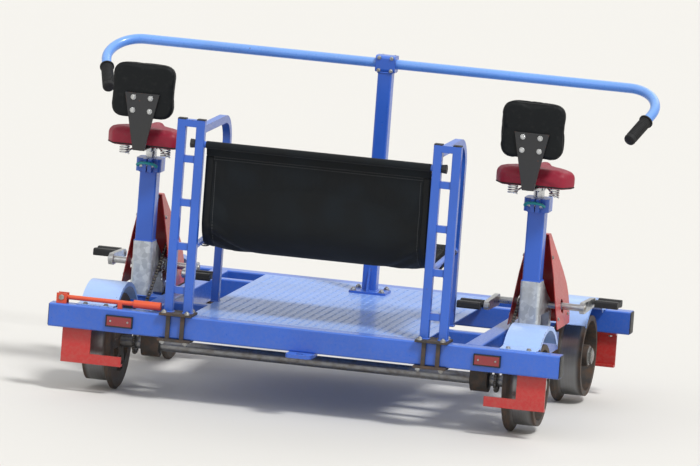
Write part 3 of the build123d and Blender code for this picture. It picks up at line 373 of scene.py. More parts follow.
finishes = {
    # start of a node's name: its material, and blue enamel for all others
    "rear_wheels": castIron("rear_wheel_iron", axleY=-0.4),
    "front_wheels": castIron("front_wheel_iron", axleY=0.4),
    "rear_axle": axleSteel, "front_axle": axleSteel, "bearing_housings": housingIron,
    "post_clamps": housingIron, "chain_case": redEnamel, "chain_": chainSteel,
    "crankset": crankSteel, "crank_pedestal": zinc, "pedal_": pedalPlastic,
    "saddle": saddleVinyl, "backrest": padVinyl, "seat_post": postSteel,
    "bench_sling": canvasCloth, "grips": gripRubber, "reflectors": lensAcrylic,
    "brake_lever": orangeEnamel, "rail_guards": redEnamel, "mudguards": skyEnamel,
    "floor_plate": shadedFloorEnamel, "handlebar_post": blueEnamel, "handlebar": barEnamel,
}
for nodeName, node in nodes.items():
    finish = next((mat for start, mat in finishes.items() if nodeName.startswith(start)), blueEnamel)
    node.data.materials.clear()
    node.data.materials.append(finish)
print("finishes on", len(nodes), "nodes")


# Shapes that several pieces use

def addObject(name, data):
    made = bpy.data.objects.new(name, data)
    bpy.context.scene.collection.objects.link(made)
    return made


def finishPiece(name, bm, mats, body, smooth=35.0):
    # the mesh becomes a piece on a body; edges sharper than smooth degrees stay sharp
    bmesh.ops.recalc_face_normals(bm, faces=bm.faces)
    mesh = bpy.data.meshes.new(name)
    bm.to_mesh(mesh)
    bm.free()
    mesh.shade_smooth()
    mesh.set_sharp_from_angle(angle=math.radians(smooth))
    for mat in mats:
        mesh.materials.append(mat)
    piece = addObject(name, mesh)
    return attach(piece, body)


def standing(place, way):
    # stands a shape that is made along Z on this place, pointing this way
    turn = Vector(way).to_track_quat("Z", "Y").to_matrix().to_4x4()
    return Matrix.Translation(Vector(place)) @ turn


def addDisc(bm, matrix, radius, low, high, sides=24, topRadius=None, matIndex=0):
    # a closed bar between two heights along the matrix's Z; six sides make it hexagonal
    spot = matrix @ Matrix.Translation((0, 0, (low + high) / 2))
    top = radius if topRadius is None else topRadius
    made = bmesh.ops.create_cone(bm, cap_ends=True, cap_tris=False, segments=sides,
                                 radius1=radius, radius2=top, depth=high - low, matrix=spot)
    for face in {face for vert in made["verts"] for face in vert.link_faces}:
        face.material_index = matIndex


def addBlock(bm, lowest, highest, bevel=0.0):
    # a box between two corners, its edges rounded off by the bevel in metres
    lowest, highest = Vector(lowest), Vector(highest)
    spot = Matrix.Translation((lowest + highest) / 2) @ Matrix.Diagonal((*(highest - lowest), 1.0))
    made = bmesh.ops.create_cube(bm, size=1.0, matrix=spot)
    if bevel:
        edges = list({edge for vert in made["verts"] for edge in vert.link_edges})
        bmesh.ops.bevel(bm, geom=edges, offset=bevel, offset_type="OFFSET", segments=2, profile=0.5,
                        affect="EDGES", material=-1, clamp_overlap=True)


def addRod(bm, points, radius, sides=8, closed=False, matIndex=0):
    # circles across the line through the points, bridged from each to the next; radius is one
    # value, or a list with one for each point
    points = [Vector(p) for p in points]
    count = len(points)
    radii = radius if isinstance(radius, list) else [radius] * count
    rings = []
    side = None
    rod = bmesh.new()        # a mesh of its own, because each operator goes through the whole mesh
    for i, point in enumerate(points):
        ahead = points[(i + 1) % count] if closed or i < count - 1 else point
        behind = points[i - 1] if closed or i > 0 else point
        way = (ahead - behind).normalized()
        side = way.orthogonal() if side is None else side - way * side.dot(way)
        side.normalize()
        across = Matrix((side, way.cross(side), way)).transposed().to_4x4()
        cap = not closed and i in (0, count - 1)
        ring = bmesh.ops.create_circle(rod, cap_ends=cap, segments=sides, radius=radii[i],
                                       matrix=Matrix.Translation(point) @ across)
        rings.append(list({edge for vert in ring["verts"] for edge in vert.link_edges}))
    pairs = list(zip(rings, rings[1:])) + ([(rings[-1], rings[0])] if closed else [])
    for near, far in pairs:
        bmesh.ops.bridge_loops(rod, edges=near + far)
    for face in rod.faces:
        face.material_index = matIndex
    addMesh(bm, rod)


def addMesh(bm, part):
    # adds a finished part to a larger mesh
    mesh = bpy.data.meshes.new("part")
    part.to_mesh(mesh)
    part.free()
    bm.from_mesh(mesh)
    bpy.data.meshes.remove(mesh)


def addTurned(bm, matrix, profile, sides):
    # a lathe: pairs of height and radius along the matrix's Z, spun all round
    line = [bm.verts.new(matrix @ Vector((radius, 0.0, height))) for height, radius in profile]
    edges = [bm.edges.new(pair) for pair in zip(line, line[1:])]
    axis = matrix.to_3x3() @ Vector((0.0, 0.0, 1.0))
    bmesh.ops.spin(bm, geom=line + edges, cent=matrix.translation, axis=axis, angle=2 * math.pi,
                   steps=sides, use_merge=True)


# Hexagon bolts: sizes as shares of the thread's diameter
hexBolt = {"head": 0.93, "height": 0.62, "chamfer": 0.15, "chamferTop": 0.84, "washer": 1.15,
           "washerThick": 0.18, "washerSunk": 0.0004, "stud": 0.5, "studOut": 0.35, "studTip": 0.4}


def addBolt(bm, place, way, thread, stud=False):
    # washer and hexagonal head, or a nut with the stud's end above it
    spot = standing(place, way)
    seat = thread * hexBolt["washerThick"]
    top = seat + thread * hexBolt["height"]
    head = thread * hexBolt["head"]
    shoulder = top - thread * hexBolt["chamfer"]
    addDisc(bm, spot, thread * hexBolt["washer"], -hexBolt["washerSunk"], seat, sides=20)
    addDisc(bm, spot, head, seat, shoulder, sides=6)
    addDisc(bm, spot, head, shoulder, top, sides=6, topRadius=head * hexBolt["chamferTop"])
    if stud:
        addDisc(bm, spot, thread * hexBolt["stud"], top, top + thread * hexBolt["studOut"], sides=12,
                topRadius=thread * hexBolt["studTip"])


mergeDistance = 1e-5
gripMergeDistance = 1e-6


def nodeCopy(name):
    # a CAD node's mesh with its doubles merged
    bm = bmesh.new()
    bm.from_mesh(nodes[name].data)
    bmesh.ops.remove_doubles(bm, verts=bm.verts, dist=mergeDistance)
    return bm


def clearSide(bm, place, way):
    # cuts a closed form by a plane, clears what lies this way from it and closes the cut
    geometry = bm.verts[:] + bm.edges[:] + bm.faces[:]
    cut = bmesh.ops.bisect_plane(bm, geom=geometry, plane_co=place, plane_no=way, clear_outer=True)
    edges = [g for g in cut["geom_cut"] if isinstance(g, bmesh.types.BMEdge)]
    bmesh.ops.holes_fill(bm, edges=edges)
    return bm


def sectionLine(piece, place, way):
    # the closed line in which a plane meets a piece's surface
    bm = bmesh.new()
    bm.from_mesh(piece.data)
    geometry = bm.verts[:] + bm.edges[:] + bm.faces[:]
    cut = bmesh.ops.bisect_plane(bm, geom=geometry, plane_co=place, plane_no=way)
    links = {}
    for edge in [g for g in cut["geom_cut"] if isinstance(g, bmesh.types.BMEdge)]:
        a, b = edge.verts
        links.setdefault(a, []).append(b)
        links.setdefault(b, []).append(a)
    start = next(iter(links))
    line, last, here = [start.co.copy()], None, start
    while True:
        onward = [vert for vert in links[here] if vert is not last]
        last, here = here, onward[0]
        if here is start:
            break
        line.append(here.co.copy())
    bm.free()
    return line


# Soft pads: swollen by a short cloth simulation from the space that the CAD solid holds
padding = {"voxel": 0.005, "smoothing": 6, "pressure": 4.0, "lastFrame": 20, "travel": 0.006}


def inflate(piece):
    # rounds a pad off and lets it swell; the same voxels give the same result in every run
    bpy.context.view_layer.objects.active = piece
    remesh = piece.modifiers.new("remesh", "REMESH")
    remesh.mode = "VOXEL"
    remesh.voxel_size = padding["voxel"]
    bpy.ops.object.modifier_apply(modifier=remesh.name)
    bm = bmesh.new()
    bm.from_mesh(piece.data)
    for repeat in range(padding["smoothing"]):
        bmesh.ops.smooth_vert(bm, verts=bm.verts, factor=0.5, use_axis_x=True, use_axis_y=True,
                              use_axis_z=True)
    bm.to_mesh(piece.data)
    bm.free()
    cloth = piece.modifiers.new("cloth", "CLOTH")
    cloth.settings.use_pressure = True
    cloth.settings.uniform_pressure_force = padding["pressure"]
    cloth.settings.effector_weights.gravity = 0.0
    settle(piece, cloth, padding["lastFrame"], padding["travel"])


def settle(piece, cloth, lastFrame, travel):
    # runs one piece's cloth and keeps its last shape; no vertex ends further than travel from its start
    scene = bpy.context.scene
    before = [vert.co.copy() for vert in piece.data.vertices]
    for frameNumber in range(1, lastFrame + 1):
        scene.frame_set(frameNumber)
    bpy.context.view_layer.objects.active = piece
    bpy.ops.object.modifier_apply(modifier=cloth.name)
    scene.frame_set(1)
    for vert, place in zip(piece.data.vertices, before):
        moved = vert.co - place
        if moved.length > travel:
            vert.co = place + moved * (travel / moved.length)


def addSubdivision(piece):
    smooth = piece.modifiers.new("smooth", "SUBSURF")
    smooth.levels = 1
    smooth.render_levels = 1
    piece.data.shade_smooth()


# Saddles: red vinyl over foam, piping round the foot
saddle = {"fill": 0.85, "pipingHeight": 0.006, "pipingRadius": 0.0026}


def buildSaddle(side):
    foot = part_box("saddle_" + side)[0].z
    cover = finishPiece("saddle_cover_" + side, nodeCopy("saddle_" + side), [saddleVinyl], "seat_" + side)
    inflate(cover)
    for vert in cover.data.vertices:
        vert.co.z = max(vert.co.z, foot)        # the foot stays flat at the seat plate's level
    addSubdivision(cover)
    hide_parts("saddle_" + side)
    return cover


# Backrests: black vinyl pad on a steel bracket, whose strap runs under the saddle to the seat post
backrest = {
    "fill": 0.8, "padBack": -0.359, "cutOff": 0.0003, "padLow": 0.900, "pipingRadius": 0.0024,
    "pipingIn": 0.008, "strapTop": 0.822, "strapThick": 0.004, "strapHalf": 0.020, "strapFront": -0.160,
    "strapLap": 0.002, "boltHeights": (0.955, 1.000), "boltAside": 0.030, "thread": 0.008,
}


def buildBackrest(side, middle):
    node = "backrest_" + side
    back, cutOff = backrest["padBack"], backrest["cutOff"]
    bm = clearSide(nodeCopy(node), (0, back + cutOff, 0), (0, -1, 0))
    clearSide(bm, (0, 0, backrest["padLow"]), (0, 0, -1))
    pad = finishPiece("backrest_pad_" + side, bm, [padVinyl], "seat_" + side)
    inflate(pad)
    for vert in pad.data.vertices:
        vert.co.y = max(vert.co.y, back)        # the pad stays in front of its bracket
    addSubdivision(pad)
    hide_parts(node)

    bm = clearSide(nodeCopy(node), (0, back - cutOff, 0), (0, 1, 0))
    half, top = backrest["strapHalf"], backrest["strapTop"]
    addBlock(bm, (middle - half, back - backrest["strapLap"], top - backrest["strapThick"]),
             (middle + half, backrest["strapFront"], top))
    bracket = finishPiece("backrest_bracket_" + side, bm, [blackEnamel], "seat_" + side)
    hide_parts(node)
    return pad


def buildPiping(side, cover, pad):
    bm = bmesh.new()
    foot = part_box("saddle_" + side)[0].z + saddle["pipingHeight"]
    line = sectionLine(cover, (0, 0, foot), (0, 0, 1))[::2]
    addRod(bm, line, saddle["pipingRadius"], sides=6, closed=True)
    front = max(vert.co.y for vert in pad.data.vertices)
    for y in (backrest["padBack"] + backrest["pipingIn"], front - backrest["pipingIn"]):
        line = sectionLine(pad, (0, y, 0), (0, 1, 0))[::2]
        addRod(bm, line, backrest["pipingRadius"], sides=6, closed=True)
    finishPiece("seat_piping_" + side, bm, [gripRubber], "seat_" + side)


# Seat springs: two coils in cups, with a wire rail each to the seat plate, and the plate's bolts
spring = {
    "aside": 0.072, "y": -0.262, "low": 0.790, "radius": 0.016, "wire": 0.0026, "turns": 4, "steps": 14,
    "cupRim": 0.004, "cupThick": 0.0025, "cupSunk": 0.001, "railRadius": 0.0032,
    "rail": ((0.060, -0.236, 0.800), (0.040, -0.215, 0.813), (0.0375, -0.150, 0.813)),   # aside, y, z
    "plateBolt": (0.020, -0.258, 0.808), "plateThread": 0.006,
    "spacerRadius": 0.016, "spacerLow": 0.8082, "spacerTop": 0.8205,
}


def coil(x, y, low, high):
    count = spring["turns"] * spring["steps"]
    turns = [2 * math.pi * k / spring["steps"] for k in range(count + 1)]
    return [(x + spring["radius"] * math.cos(t), y + spring["radius"] * math.sin(t),
             low + (high - low) * k / count) for k, t in enumerate(turns)]


def buildSeatSprings(side, middle):
    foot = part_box("saddle_" + side)[0].z
    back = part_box("backrest_" + side)[0].y
    bm = bmesh.new()
    for across in (-1, 1):
        x = middle + across * spring["aside"]
        addRod(bm, coil(x, spring["y"], spring["low"], foot), spring["wire"])
        addDisc(bm, standing((x, spring["y"], foot), (0, 0, -1)), spring["radius"] + spring["cupRim"],
                -spring["cupSunk"], spring["cupThick"])
        rail = [(x, spring["y"] + spring["radius"], spring["low"])]
        rail += [(middle + across * aside, y, z) for aside, y, z in spring["rail"]]
        addRod(bm, rail, spring["railRadius"], sides=10)
        aside, y, z = spring["plateBolt"]
        addBolt(bm, (middle + across * aside, y, z), (0, 0, -1), spring["plateThread"])
        for z in backrest["boltHeights"]:
            place = (middle + across * backrest["boltAside"], back, z)
            addBolt(bm, place, (0, -1, 0), backrest["thread"])
    spacer = standing((middle, backrest["strapFront"], 0), (0, 0, 1))
    addDisc(bm, spacer, spring["spacerRadius"], spring["spacerLow"], spring["spacerTop"], sides=20)
    finishPiece("seat_springs_" + side, bm, [postSteel], "seat_" + side)


# Seat clamps: a cross bolt through the lugs, with a teal quick lever bowed round behind the head
seatClamp = {
    "y": -0.210, "z": 0.749, "boltRadius": 0.004, "boltReach": 0.030, "lugFace": 0.016, "thread": 0.008,
    "collarRadius": 0.009, "collarEnd": 0.026, "armStart": 0.021, "armRadius": 0.0045,
    "leverReach": 0.034, "leverBack": 0.010, "bow": 0.020, "rise": 0.012, "leverRadius": 0.0040,
    "swell": 0.00175, "steps": 12,
}


def buildSeatClamp(side, way):
    x, y, z = way * stationX, seatClamp["y"], seatClamp["z"]
    bolt = standing((x, y, z), (way, 0, 0))
    bm = bmesh.new()
    addDisc(bm, bolt, seatClamp["boltRadius"], -seatClamp["boltReach"], seatClamp["boltReach"], sides=12)
    addBolt(bm, (x - way * seatClamp["lugFace"], y, z), (-way, 0, 0), seatClamp["thread"])
    addDisc(bm, bolt, seatClamp["collarRadius"], seatClamp["lugFace"], seatClamp["collarEnd"], sides=20)
    turns = [math.pi * k / seatClamp["steps"] for k in range(seatClamp["steps"] + 1)]
    lever = [(x + way * seatClamp["leverReach"] * math.cos(t),
              y - seatClamp["leverBack"] - seatClamp["bow"] * math.sin(t),
              z + seatClamp["rise"] * math.sin(t)) for t in turns]
    radii = [seatClamp["leverRadius"] + seatClamp["swell"] * t / math.pi for t in turns]
    addRod(bm, lever, radii, sides=10, matIndex=1)
    addRod(bm, [(x + way * seatClamp["armStart"], y, z), lever[0]], seatClamp["armRadius"], sides=10,
           matIndex=1)
    finishPiece("seat_clamp_" + side, bm, [crankSteel, tealPlastic], "chassis")


# Roller chains: links of two plates with pins and rollers, round ring and sprocket
drive = {
    "pitch": 0.015875, "ringTeeth": 32, "sprocketTeeth": 14, "crank": (0.0, 0.385),
    "axle": (-0.4, 0.165), "x": 0.632, "roller": 0.0049, "lobe": 0.0043, "waist": 0.0030,
    "lobeFrom": 110, "lobeSweep": 140, "lobeStep": 35,        # degrees round a plate's end
    "plate": 0.0012, "innerFace": 0.0025, "outerFace": 0.0041, "pinHalf": 0.0058, "pin": 0.0021,
}


def chainPins():
    # the pins' places in Y and Z, in four stretches: lower run, sprocket, upper run, ring
    ring = drive["pitch"] / 2 / math.sin(math.pi / drive["ringTeeth"])
    sprocket = drive["pitch"] / 2 / math.sin(math.pi / drive["sprocketTeeth"])
    crankY, crankZ = drive["crank"]
    runY, runZ = drive["axle"][0] - crankY, drive["axle"][1] - crankZ
    centres = math.hypot(runY, runZ)
    lean = math.atan2(runZ, runY)
    touch = math.acos((ring - sprocket) / centres)
    run = centres * math.sin(touch)
    sprocketEnd = run + sprocket * 2 * touch
    ringStart = sprocketEnd + run
    loop = ringStart + ring * (2 * math.pi - 2 * touch)
    count = 2 * round(loop / drive["pitch"] / 2)
    first = (ringStart + loop) / 2
    pins = []
    for k in range(count):
        along = (first + k * loop / count) % loop
        if along < run:
            angle, radius = touch, ring
            far, up = along * math.sin(angle), -along * math.cos(angle)
        elif along < sprocketEnd:
            angle, radius = touch - (along - run) / sprocket, sprocket
            far, up = centres, 0.0
        elif along < ringStart:
            angle, radius = -touch, sprocket
            far = centres - (along - sprocketEnd) * math.sin(touch)
            up = -(along - sprocketEnd) * math.cos(touch)
        else:
            angle, radius = -touch - (along - ringStart) / ring, ring
            far, up = 0.0, 0.0
        far += radius * math.cos(angle)
        up += radius * math.sin(angle)
        pins.append((crankY + far * math.cos(lean) - up * math.sin(lean),
                     crankZ + far * math.sin(lean) + up * math.cos(lean)))
    return pins


def addLinkPlate(bm, start, end):
    # a plate with round ends and a waist from pin to pin, thickened towards the car's right
    along = end - start
    length = along.length
    right = Vector((1.0, 0.0, 0.0))
    axes = Matrix((along / length, right.cross(along / length), right)).transposed()
    outline = []
    for middle, first in ((0.0, drive["lobeFrom"]), (length, drive["lobeFrom"] - 180)):
        for turn in range(first, first + drive["lobeSweep"] + 1, drive["lobeStep"]):
            t = math.radians(turn)
            outline.append((middle + drive["lobe"] * math.cos(t), drive["lobe"] * math.sin(t), 0.0))
        outline.append((length / 2, math.copysign(drive["waist"], -first), 0.0))
    face = bm.faces.new([bm.verts.new(start + axes @ Vector(point)) for point in outline])
    made = bmesh.ops.extrude_face_region(bm, geom=[face])
    top = [g for g in made["geom"] if isinstance(g, bmesh.types.BMVert)]
    bmesh.ops.translate(bm, verts=top, vec=right * drive["plate"])


def buildChain(side, way):
    x = way * drive["x"]
    pins = [Vector((x, y, z)) for y, z in chainPins()]
    bm = bmesh.new()
    for k, start in enumerate(pins):
        face = drive["innerFace"] if k % 2 else drive["outerFace"]
        for offset in (face, -face - drive["plate"]):
            shift = Vector((offset, 0.0, 0.0))
            addLinkPlate(bm, start + shift, pins[(k + 1) % len(pins)] + shift)
        spot = standing(start, (1, 0, 0))
        addDisc(bm, spot, drive["pin"], -drive["pinHalf"], drive["pinHalf"], sides=8)
        addDisc(bm, spot, drive["roller"], -drive["innerFace"], drive["innerFace"], sides=12)
    chain = finishPiece("roller_chain_" + side, bm, [chainSteel], "chassis")
    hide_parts("chain_" + side)


# Grips: ribbed rubber sleeves with a flange, turned on the swept ends of the handlebar
gripLook = {"radius": 0.0195, "rib": 0.0016, "pitch": 0.0075, "flange": 0.0250, "flangeThick": 0.005,
            "ribEnd": 0.55, "grooveStart": 0.65, "grooveEnd": 0.92,        # shares of the pitch
            "plain": 0.022, "firstRib": 0.009, "tipLength": 0.010, "tipShare": 0.75,
            "sides": 40, "passes": 12}


def gripEnds(way):
    # the ends of the grip on this side: its long axis is where its points spread most
    spots = {tuple(round(c, 6) for c in v.co) for v in nodes["grips"].data.vertices if v.co.x * way > 0}
    spots = [Vector(spot) for spot in sorted(spots)]
    centre = sum(spots, Vector()) / len(spots)
    axis = Vector((0.0, -1.0, 0.0))
    for repeat in range(gripLook["passes"]):
        axis = sum(((p - centre) * (p - centre).dot(axis) for p in spots), Vector()).normalized()
    reach = [(p - centre).dot(axis) for p in spots]
    return centre + axis * min(reach), centre + axis * max(reach)


def buildGrips():
    bm = bmesh.new()
    radius, crest, pitch = gripLook["radius"], gripLook["radius"] + gripLook["rib"], gripLook["pitch"]
    for way in (-1, 1):
        start, end = gripEnds(way)
        run = (end - start).length
        profile = [(0.0, 0.0), (0.0, gripLook["flange"]), (gripLook["flangeThick"], gripLook["flange"]),
                   (gripLook["flangeThick"] + gripLook["rib"] / 2, radius)]
        for k in range(int((run - gripLook["plain"]) / pitch)):
            foot = gripLook["firstRib"] + k * pitch
            profile += [(foot, crest), (foot + pitch * gripLook["ribEnd"], crest),
                        (foot + pitch * gripLook["grooveStart"], radius),
                        (foot + pitch * gripLook["grooveEnd"], radius)]
        profile += [(run - gripLook["tipLength"], crest), (run - gripLook["rib"] * 2, radius),
                    (run, radius * gripLook["tipShare"]), (run, 0.0)]
        addTurned(bm, standing(start, end - start), profile, gripLook["sides"])
    bmesh.ops.remove_doubles(bm, verts=bm.verts, dist=gripMergeDistance)
    grips = finishPiece("ribbed_grips", bm, [gripRubber], "chassis")
    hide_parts("grips")


# Bench canvas: a sleeve round the back rail, the back, a round bend, the seat, a sleeve in front
canvas = {
    "halfWidth": 0.391, "across": 90, "step": 0.008, "railY": -0.601, "railZ": 0.894, "wrap": 0.0126,
    "hemBack": 0.0102, "hemLow": 0.856, "hemTop": 0.874, "backY": -0.5860, "backTop": 0.870,
    "backLow": 0.660, "bendY": -0.4796, "bendZ": 0.646, "bendRadius": 0.1060,
    "seat": ((-0.300, 0.5562), (-0.230, 0.5672)), "frontY": -0.190, "frontZ": 0.566,
    "frontWrap": 0.0136, "frontHem": ((-0.212, 0.5625), (-0.232, 0.5640)), "frontHemWide": 0.030,
    "railTurn": (300, 0, 24), "bendTurn": (180, 270, 6), "frontTurn": (105, -130, 24),   # from, to, step
    "sleeve": 0.075, "thickness": 0.0016, "heldColumns": 2,
    "mass": 0.35, "bending": 0.6, "slack": 0.012, "quality": 6, "lastFrame": 24, "travel": 0.016,
}


def arcPoints(y, z, radius, first, last, step):
    turns = max(2, round(abs(last - first) / step))
    angles = [math.radians(first + (last - first) * k / turns) for k in range(turns + 1)]
    return [(y + radius * math.cos(a), z + radius * math.sin(a)) for a in angles]


def canvasLine():
    # Y and Z along the cloth, from the upper hem's stitched edge to the front hem's
    hem = canvas["railY"] + canvas["hemBack"]
    line = [(hem, canvas["hemLow"]), (hem, canvas["hemTop"])]
    line += arcPoints(canvas["railY"], canvas["railZ"], canvas["wrap"], *canvas["railTurn"])
    line += [(canvas["backY"], canvas["backTop"]), (canvas["backY"], canvas["backLow"])]
    line += arcPoints(canvas["bendY"], canvas["bendZ"], canvas["bendRadius"], *canvas["bendTurn"])
    line += canvas["seat"]
    line += arcPoints(canvas["frontY"], canvas["frontZ"], canvas["frontWrap"], *canvas["frontTurn"])
    line += canvas["frontHem"]
    return line


def evenly(line, step):
    # the same line with points about one step apart
    spots = [Vector((0.0, y, z)) for y, z in line]
    even = [spots[0]]
    for a, b in zip(spots, spots[1:]):
        parts = max(1, round((b - a).length / step))
        even += [a.lerp(b, k / parts) for k in range(1, parts + 1)]
    return even


def addCloth(bm, spots):
    # a grid of faces through rows of places
    made = bmesh.ops.create_grid(bm, x_segments=len(spots[0]) - 1, y_segments=len(spots) - 1, size=0.5)
    for vert, place in zip(made["verts"], [place for row in spots for place in row]):
        vert.co = place


def buildCanvas():
    rows = evenly(canvasLine(), canvas["step"])
    columns = canvas["across"] + 1
    width = 2 * canvas["halfWidth"]
    along = [0.0]
    for a, b in zip(rows, rows[1:]):
        along.append(along[-1] + (b - a).length)
    spread = [width * (c / (columns - 1) - 0.5) for c in range(columns)]
    bm = bmesh.new()
    uv = bm.loops.layers.uv.new("cloth")
    addCloth(bm, [[(x, row.y, row.z) for x in spread] for row in rows])
    bm.verts.index_update()
    for face in bm.faces:
        for loop in face.loops:
            i, c = divmod(loop.vert.index, columns)
            loop[uv].uv = (spread[c] + canvas["halfWidth"], along[i])
    cloth = finishPiece("bench_canvas", bm, [canvasCloth], "chassis")

    # both hems and the edges are held, the rest hangs and settles between them
    firstFree = next(i for i, row in enumerate(rows) if row.z < canvas["backTop"]
                     and along[i] > canvas["sleeve"])
    lastFree = max(i for i, row in enumerate(rows) if row.y < canvas["frontY"] - canvas["frontHemWide"]
                   and along[i] < along[-1] - canvas["sleeve"])
    held = cloth.vertex_groups.new(name="held")
    edge = canvas["heldColumns"]
    for i in range(len(rows)):
        for c in range(columns):
            if c < edge or c >= columns - edge or i <= firstFree or i >= lastFree:
                held.add([i * columns + c], 1.0, "REPLACE")
    fabric = cloth.modifiers.new("cloth", "CLOTH")
    fabric.settings.quality = canvas["quality"]
    fabric.settings.mass = canvas["mass"]
    fabric.settings.bending_stiffness = canvas["bending"]
    fabric.settings.shrink_min = -canvas["slack"]
    fabric.settings.vertex_group_mass = "held"
    settle(cloth, fabric, canvas["lastFrame"], canvas["travel"])
    verts = cloth.data.vertices
    places = [(vert.co.copy(), vert.normal.copy()) for vert in verts]
    grid = [places[i * columns:(i + 1) * columns] for i in range(len(rows))]
    thick = cloth.modifiers.new("thickness", "SOLIDIFY")
    thick.thickness = canvas["thickness"]
    thick.offset = 0.0
    addSubdivision(cloth)
    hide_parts("bench_sling")
    stitches = buildStitches(grid, firstFree, lastFree)
    laces = buildLacing(grid, firstFree, lastFree)
    buildWebbing(grid, firstFree, lastFree)


# Stitches: two seams at each sleeve and one along each side, on both faces of the cloth
stitch = {"radius": 0.0006, "start": 0.12, "end": 0.64, "proud": 0.0002, "seamRows": (1, 2),
          "sideColumn": 4, "clear": 3}


def buildStitches(grid, firstFree, lastFree):
    columns = len(grid[0])
    seams = [[(i, c) for c in range(1, columns - 1)] for i in
             [firstFree + k for k in stitch["seamRows"]] + [lastFree - k for k in stitch["seamRows"]]]
    seams += [[(i, c) for i in range(firstFree + stitch["clear"], lastFree - stitch["clear"] + 1)]
              for c in (stitch["sideColumn"], columns - 1 - stitch["sideColumn"])]
    lift = canvas["thickness"] / 2 + stitch["proud"]
    bm = bmesh.new()
    for seam in seams:
        for near, far in zip(seam, seam[1:]):
            for face in (-lift, lift):
                (a, normalA), (b, normalB) = grid[near[0]][near[1]], grid[far[0]][far[1]]
                start, end = a + normalA * face, b + normalB * face
                length = (end - start).length
                addDisc(bm, standing(start, end - start), stitch["radius"], length * stitch["start"],
                        length * stitch["end"], sides=5)
    return finishPiece("canvas_stitches", bm, [stitchThread], "chassis")


# Webbing: a strap along each side, under the cloth
webbing = {"columns": 3, "thickness": 0.0014, "below": 0.0014}


def buildWebbing(grid, firstFree, lastFree):
    bm = bmesh.new()
    strips = []
    for edge, way in ((0, 1), (len(grid[0]) - 1, -1)):
        strips.append([[place - normal * webbing["below"]
                        for place, normal in (row[edge + way * k] for k in range(webbing["columns"] + 1))]
                       for row in grid[firstFree + 1:lastFree]])
        addCloth(bm, strips[-1])
    straps = finishPiece("canvas_webbing", bm, [padVinyl], "chassis")
    thick = straps.modifiers.new("thickness", "SOLIDIFY")
    thick.thickness = webbing["thickness"]
    thick.offset = 0.0


# Lacing: cord loops from the cloth's edge round the seat tubes, where the seat is flat
lacing = {"outside": 0.0135, "halfHeight": 0.0130, "sway": 0.003, "cord": 0.0022, "flatFrom": -0.46,
          "spacing": 3, "steps": 20}


def buildLacing(grid, firstFree, lastFree):
    bm = bmesh.new()
    flatRows = [row for row in grid[firstFree:lastFree] if row[0][0].y > lacing["flatFrom"]]
    for row in flatRows[::lacing["spacing"]]:
        for edge, way in ((row[1][0], -1), (row[-2][0], 1)):
            outer = way * (seatTubeX + lacing["outside"])
            loop = []
            for k in range(lacing["steps"]):
                t = 2 * math.pi * k / lacing["steps"]
                across = 0.5 + 0.5 * math.cos(t)
                loop.append((edge.x + (outer - edge.x) * across,
                             row[0][0].y + lacing["sway"] * math.sin(t),
                             row[0][0].z + lacing["halfHeight"] * math.sin(t)))
            addRod(bm, loop, lacing["cord"], sides=7, closed=True)
    return finishPiece("canvas_lacing", bm, [lacingCord], "chassis")


# Bolts of the chassis, the same on both sides of the car, in metres
bolts = {
    "studFrom": 0.010,        # bolts from this thread on are studs with nuts
    "rows": (
        # every x with every y, height, looking up or down, thread
        ((0.560, 0.590), (-0.4535, -0.3465, 0.3465, 0.4535), 0.211, -1, 0.006),    # bearing housings
        ((0.700, 0.772), (-0.593, 0.593), 0.308, 1, 0.008),        # mudguards
        ((0.764, 0.820), (-0.597, 0.597), 0.217, -1, 0.008),       # guards below the beams
        ((0.405, 0.485), (-0.645, -0.565), 0.313, 1, 0.010),       # post clamps, above the beam
        ((0.405, 0.485), (-0.645, -0.565), 0.217, -1, 0.010),      # and below it
        ((0.050,), (0.358, 0.442), 0.313, 1, 0.010),               # foot of the handlebar post
    ),
    "barClamp": {"x": 0.022, "heights": (1.083, 1.127), "back": 0.371, "front": 0.429, "thread": 0.006},
    # chain cases: places in Y and Z on cheeks that narrow upwards, as heights with half widths
    "cases": {"places": ((-0.080, 0.350), (-0.086, 0.560), (0.080, 0.350)), "thread": 0.006,
              "slope": 0.15, "widths": ((0.316, 0.088), (0.500, 0.061), (0.640, 0.034))},
    "lens": {"x": (0.610, 0.670), "y": -0.643, "z": 0.265, "radius": 0.0035, "proud": 0.0016},
    "leverPivot": {"place": (-0.850, -0.605, 0.326), "radius": 0.010, "half": 0.022},
}


def caseHalf(z):
    # half width of a chain case at this height
    low, middle, top = bolts["cases"]["widths"]
    (z0, w0), (z1, w1) = (low, middle) if z < middle[0] else (middle, top)
    return w0 + (w1 - w0) * (z - z0) / (z1 - z0)


def buildChassisBolts():
    bm = bmesh.new()
    clamp, cases, lens, pivot = (bolts[key] for key in ("barClamp", "cases", "lens", "leverPivot"))
    for way in (-1, 1):
        for xs, ys, z, up, thread in bolts["rows"]:
            for x in xs:
                for y in ys:
                    addBolt(bm, (way * x, y, z), (0, 0, up), thread, stud=thread >= bolts["studFrom"])
        for z in clamp["heights"]:
            x, thread = way * clamp["x"], clamp["thread"]
            addBolt(bm, (x, clamp["back"], z), (0, -1, 0), thread)
            addBolt(bm, (x, clamp["front"], z), (0, 1, 0), thread, stud=True)
        for y, z in cases["places"]:
            for cheek in (-1, 1):
                place = (way * stationX + cheek * caseHalf(z), y, z)
                addBolt(bm, place, (cheek, 0, cases["slope"]), cases["thread"])
        for x in lens["x"]:
            screw = standing((way * x, lens["y"], lens["z"]), (0, -1, 0))
            addDisc(bm, screw, lens["radius"], 0.0, lens["proud"], sides=12)
    spot = standing(pivot["place"], (0, 1, 0))
    addDisc(bm, spot, pivot["radius"], -pivot["half"], pivot["half"], sides=6)
    finishPiece("chassis_bolts", bm, [boltSteel], "chassis", smooth=25)


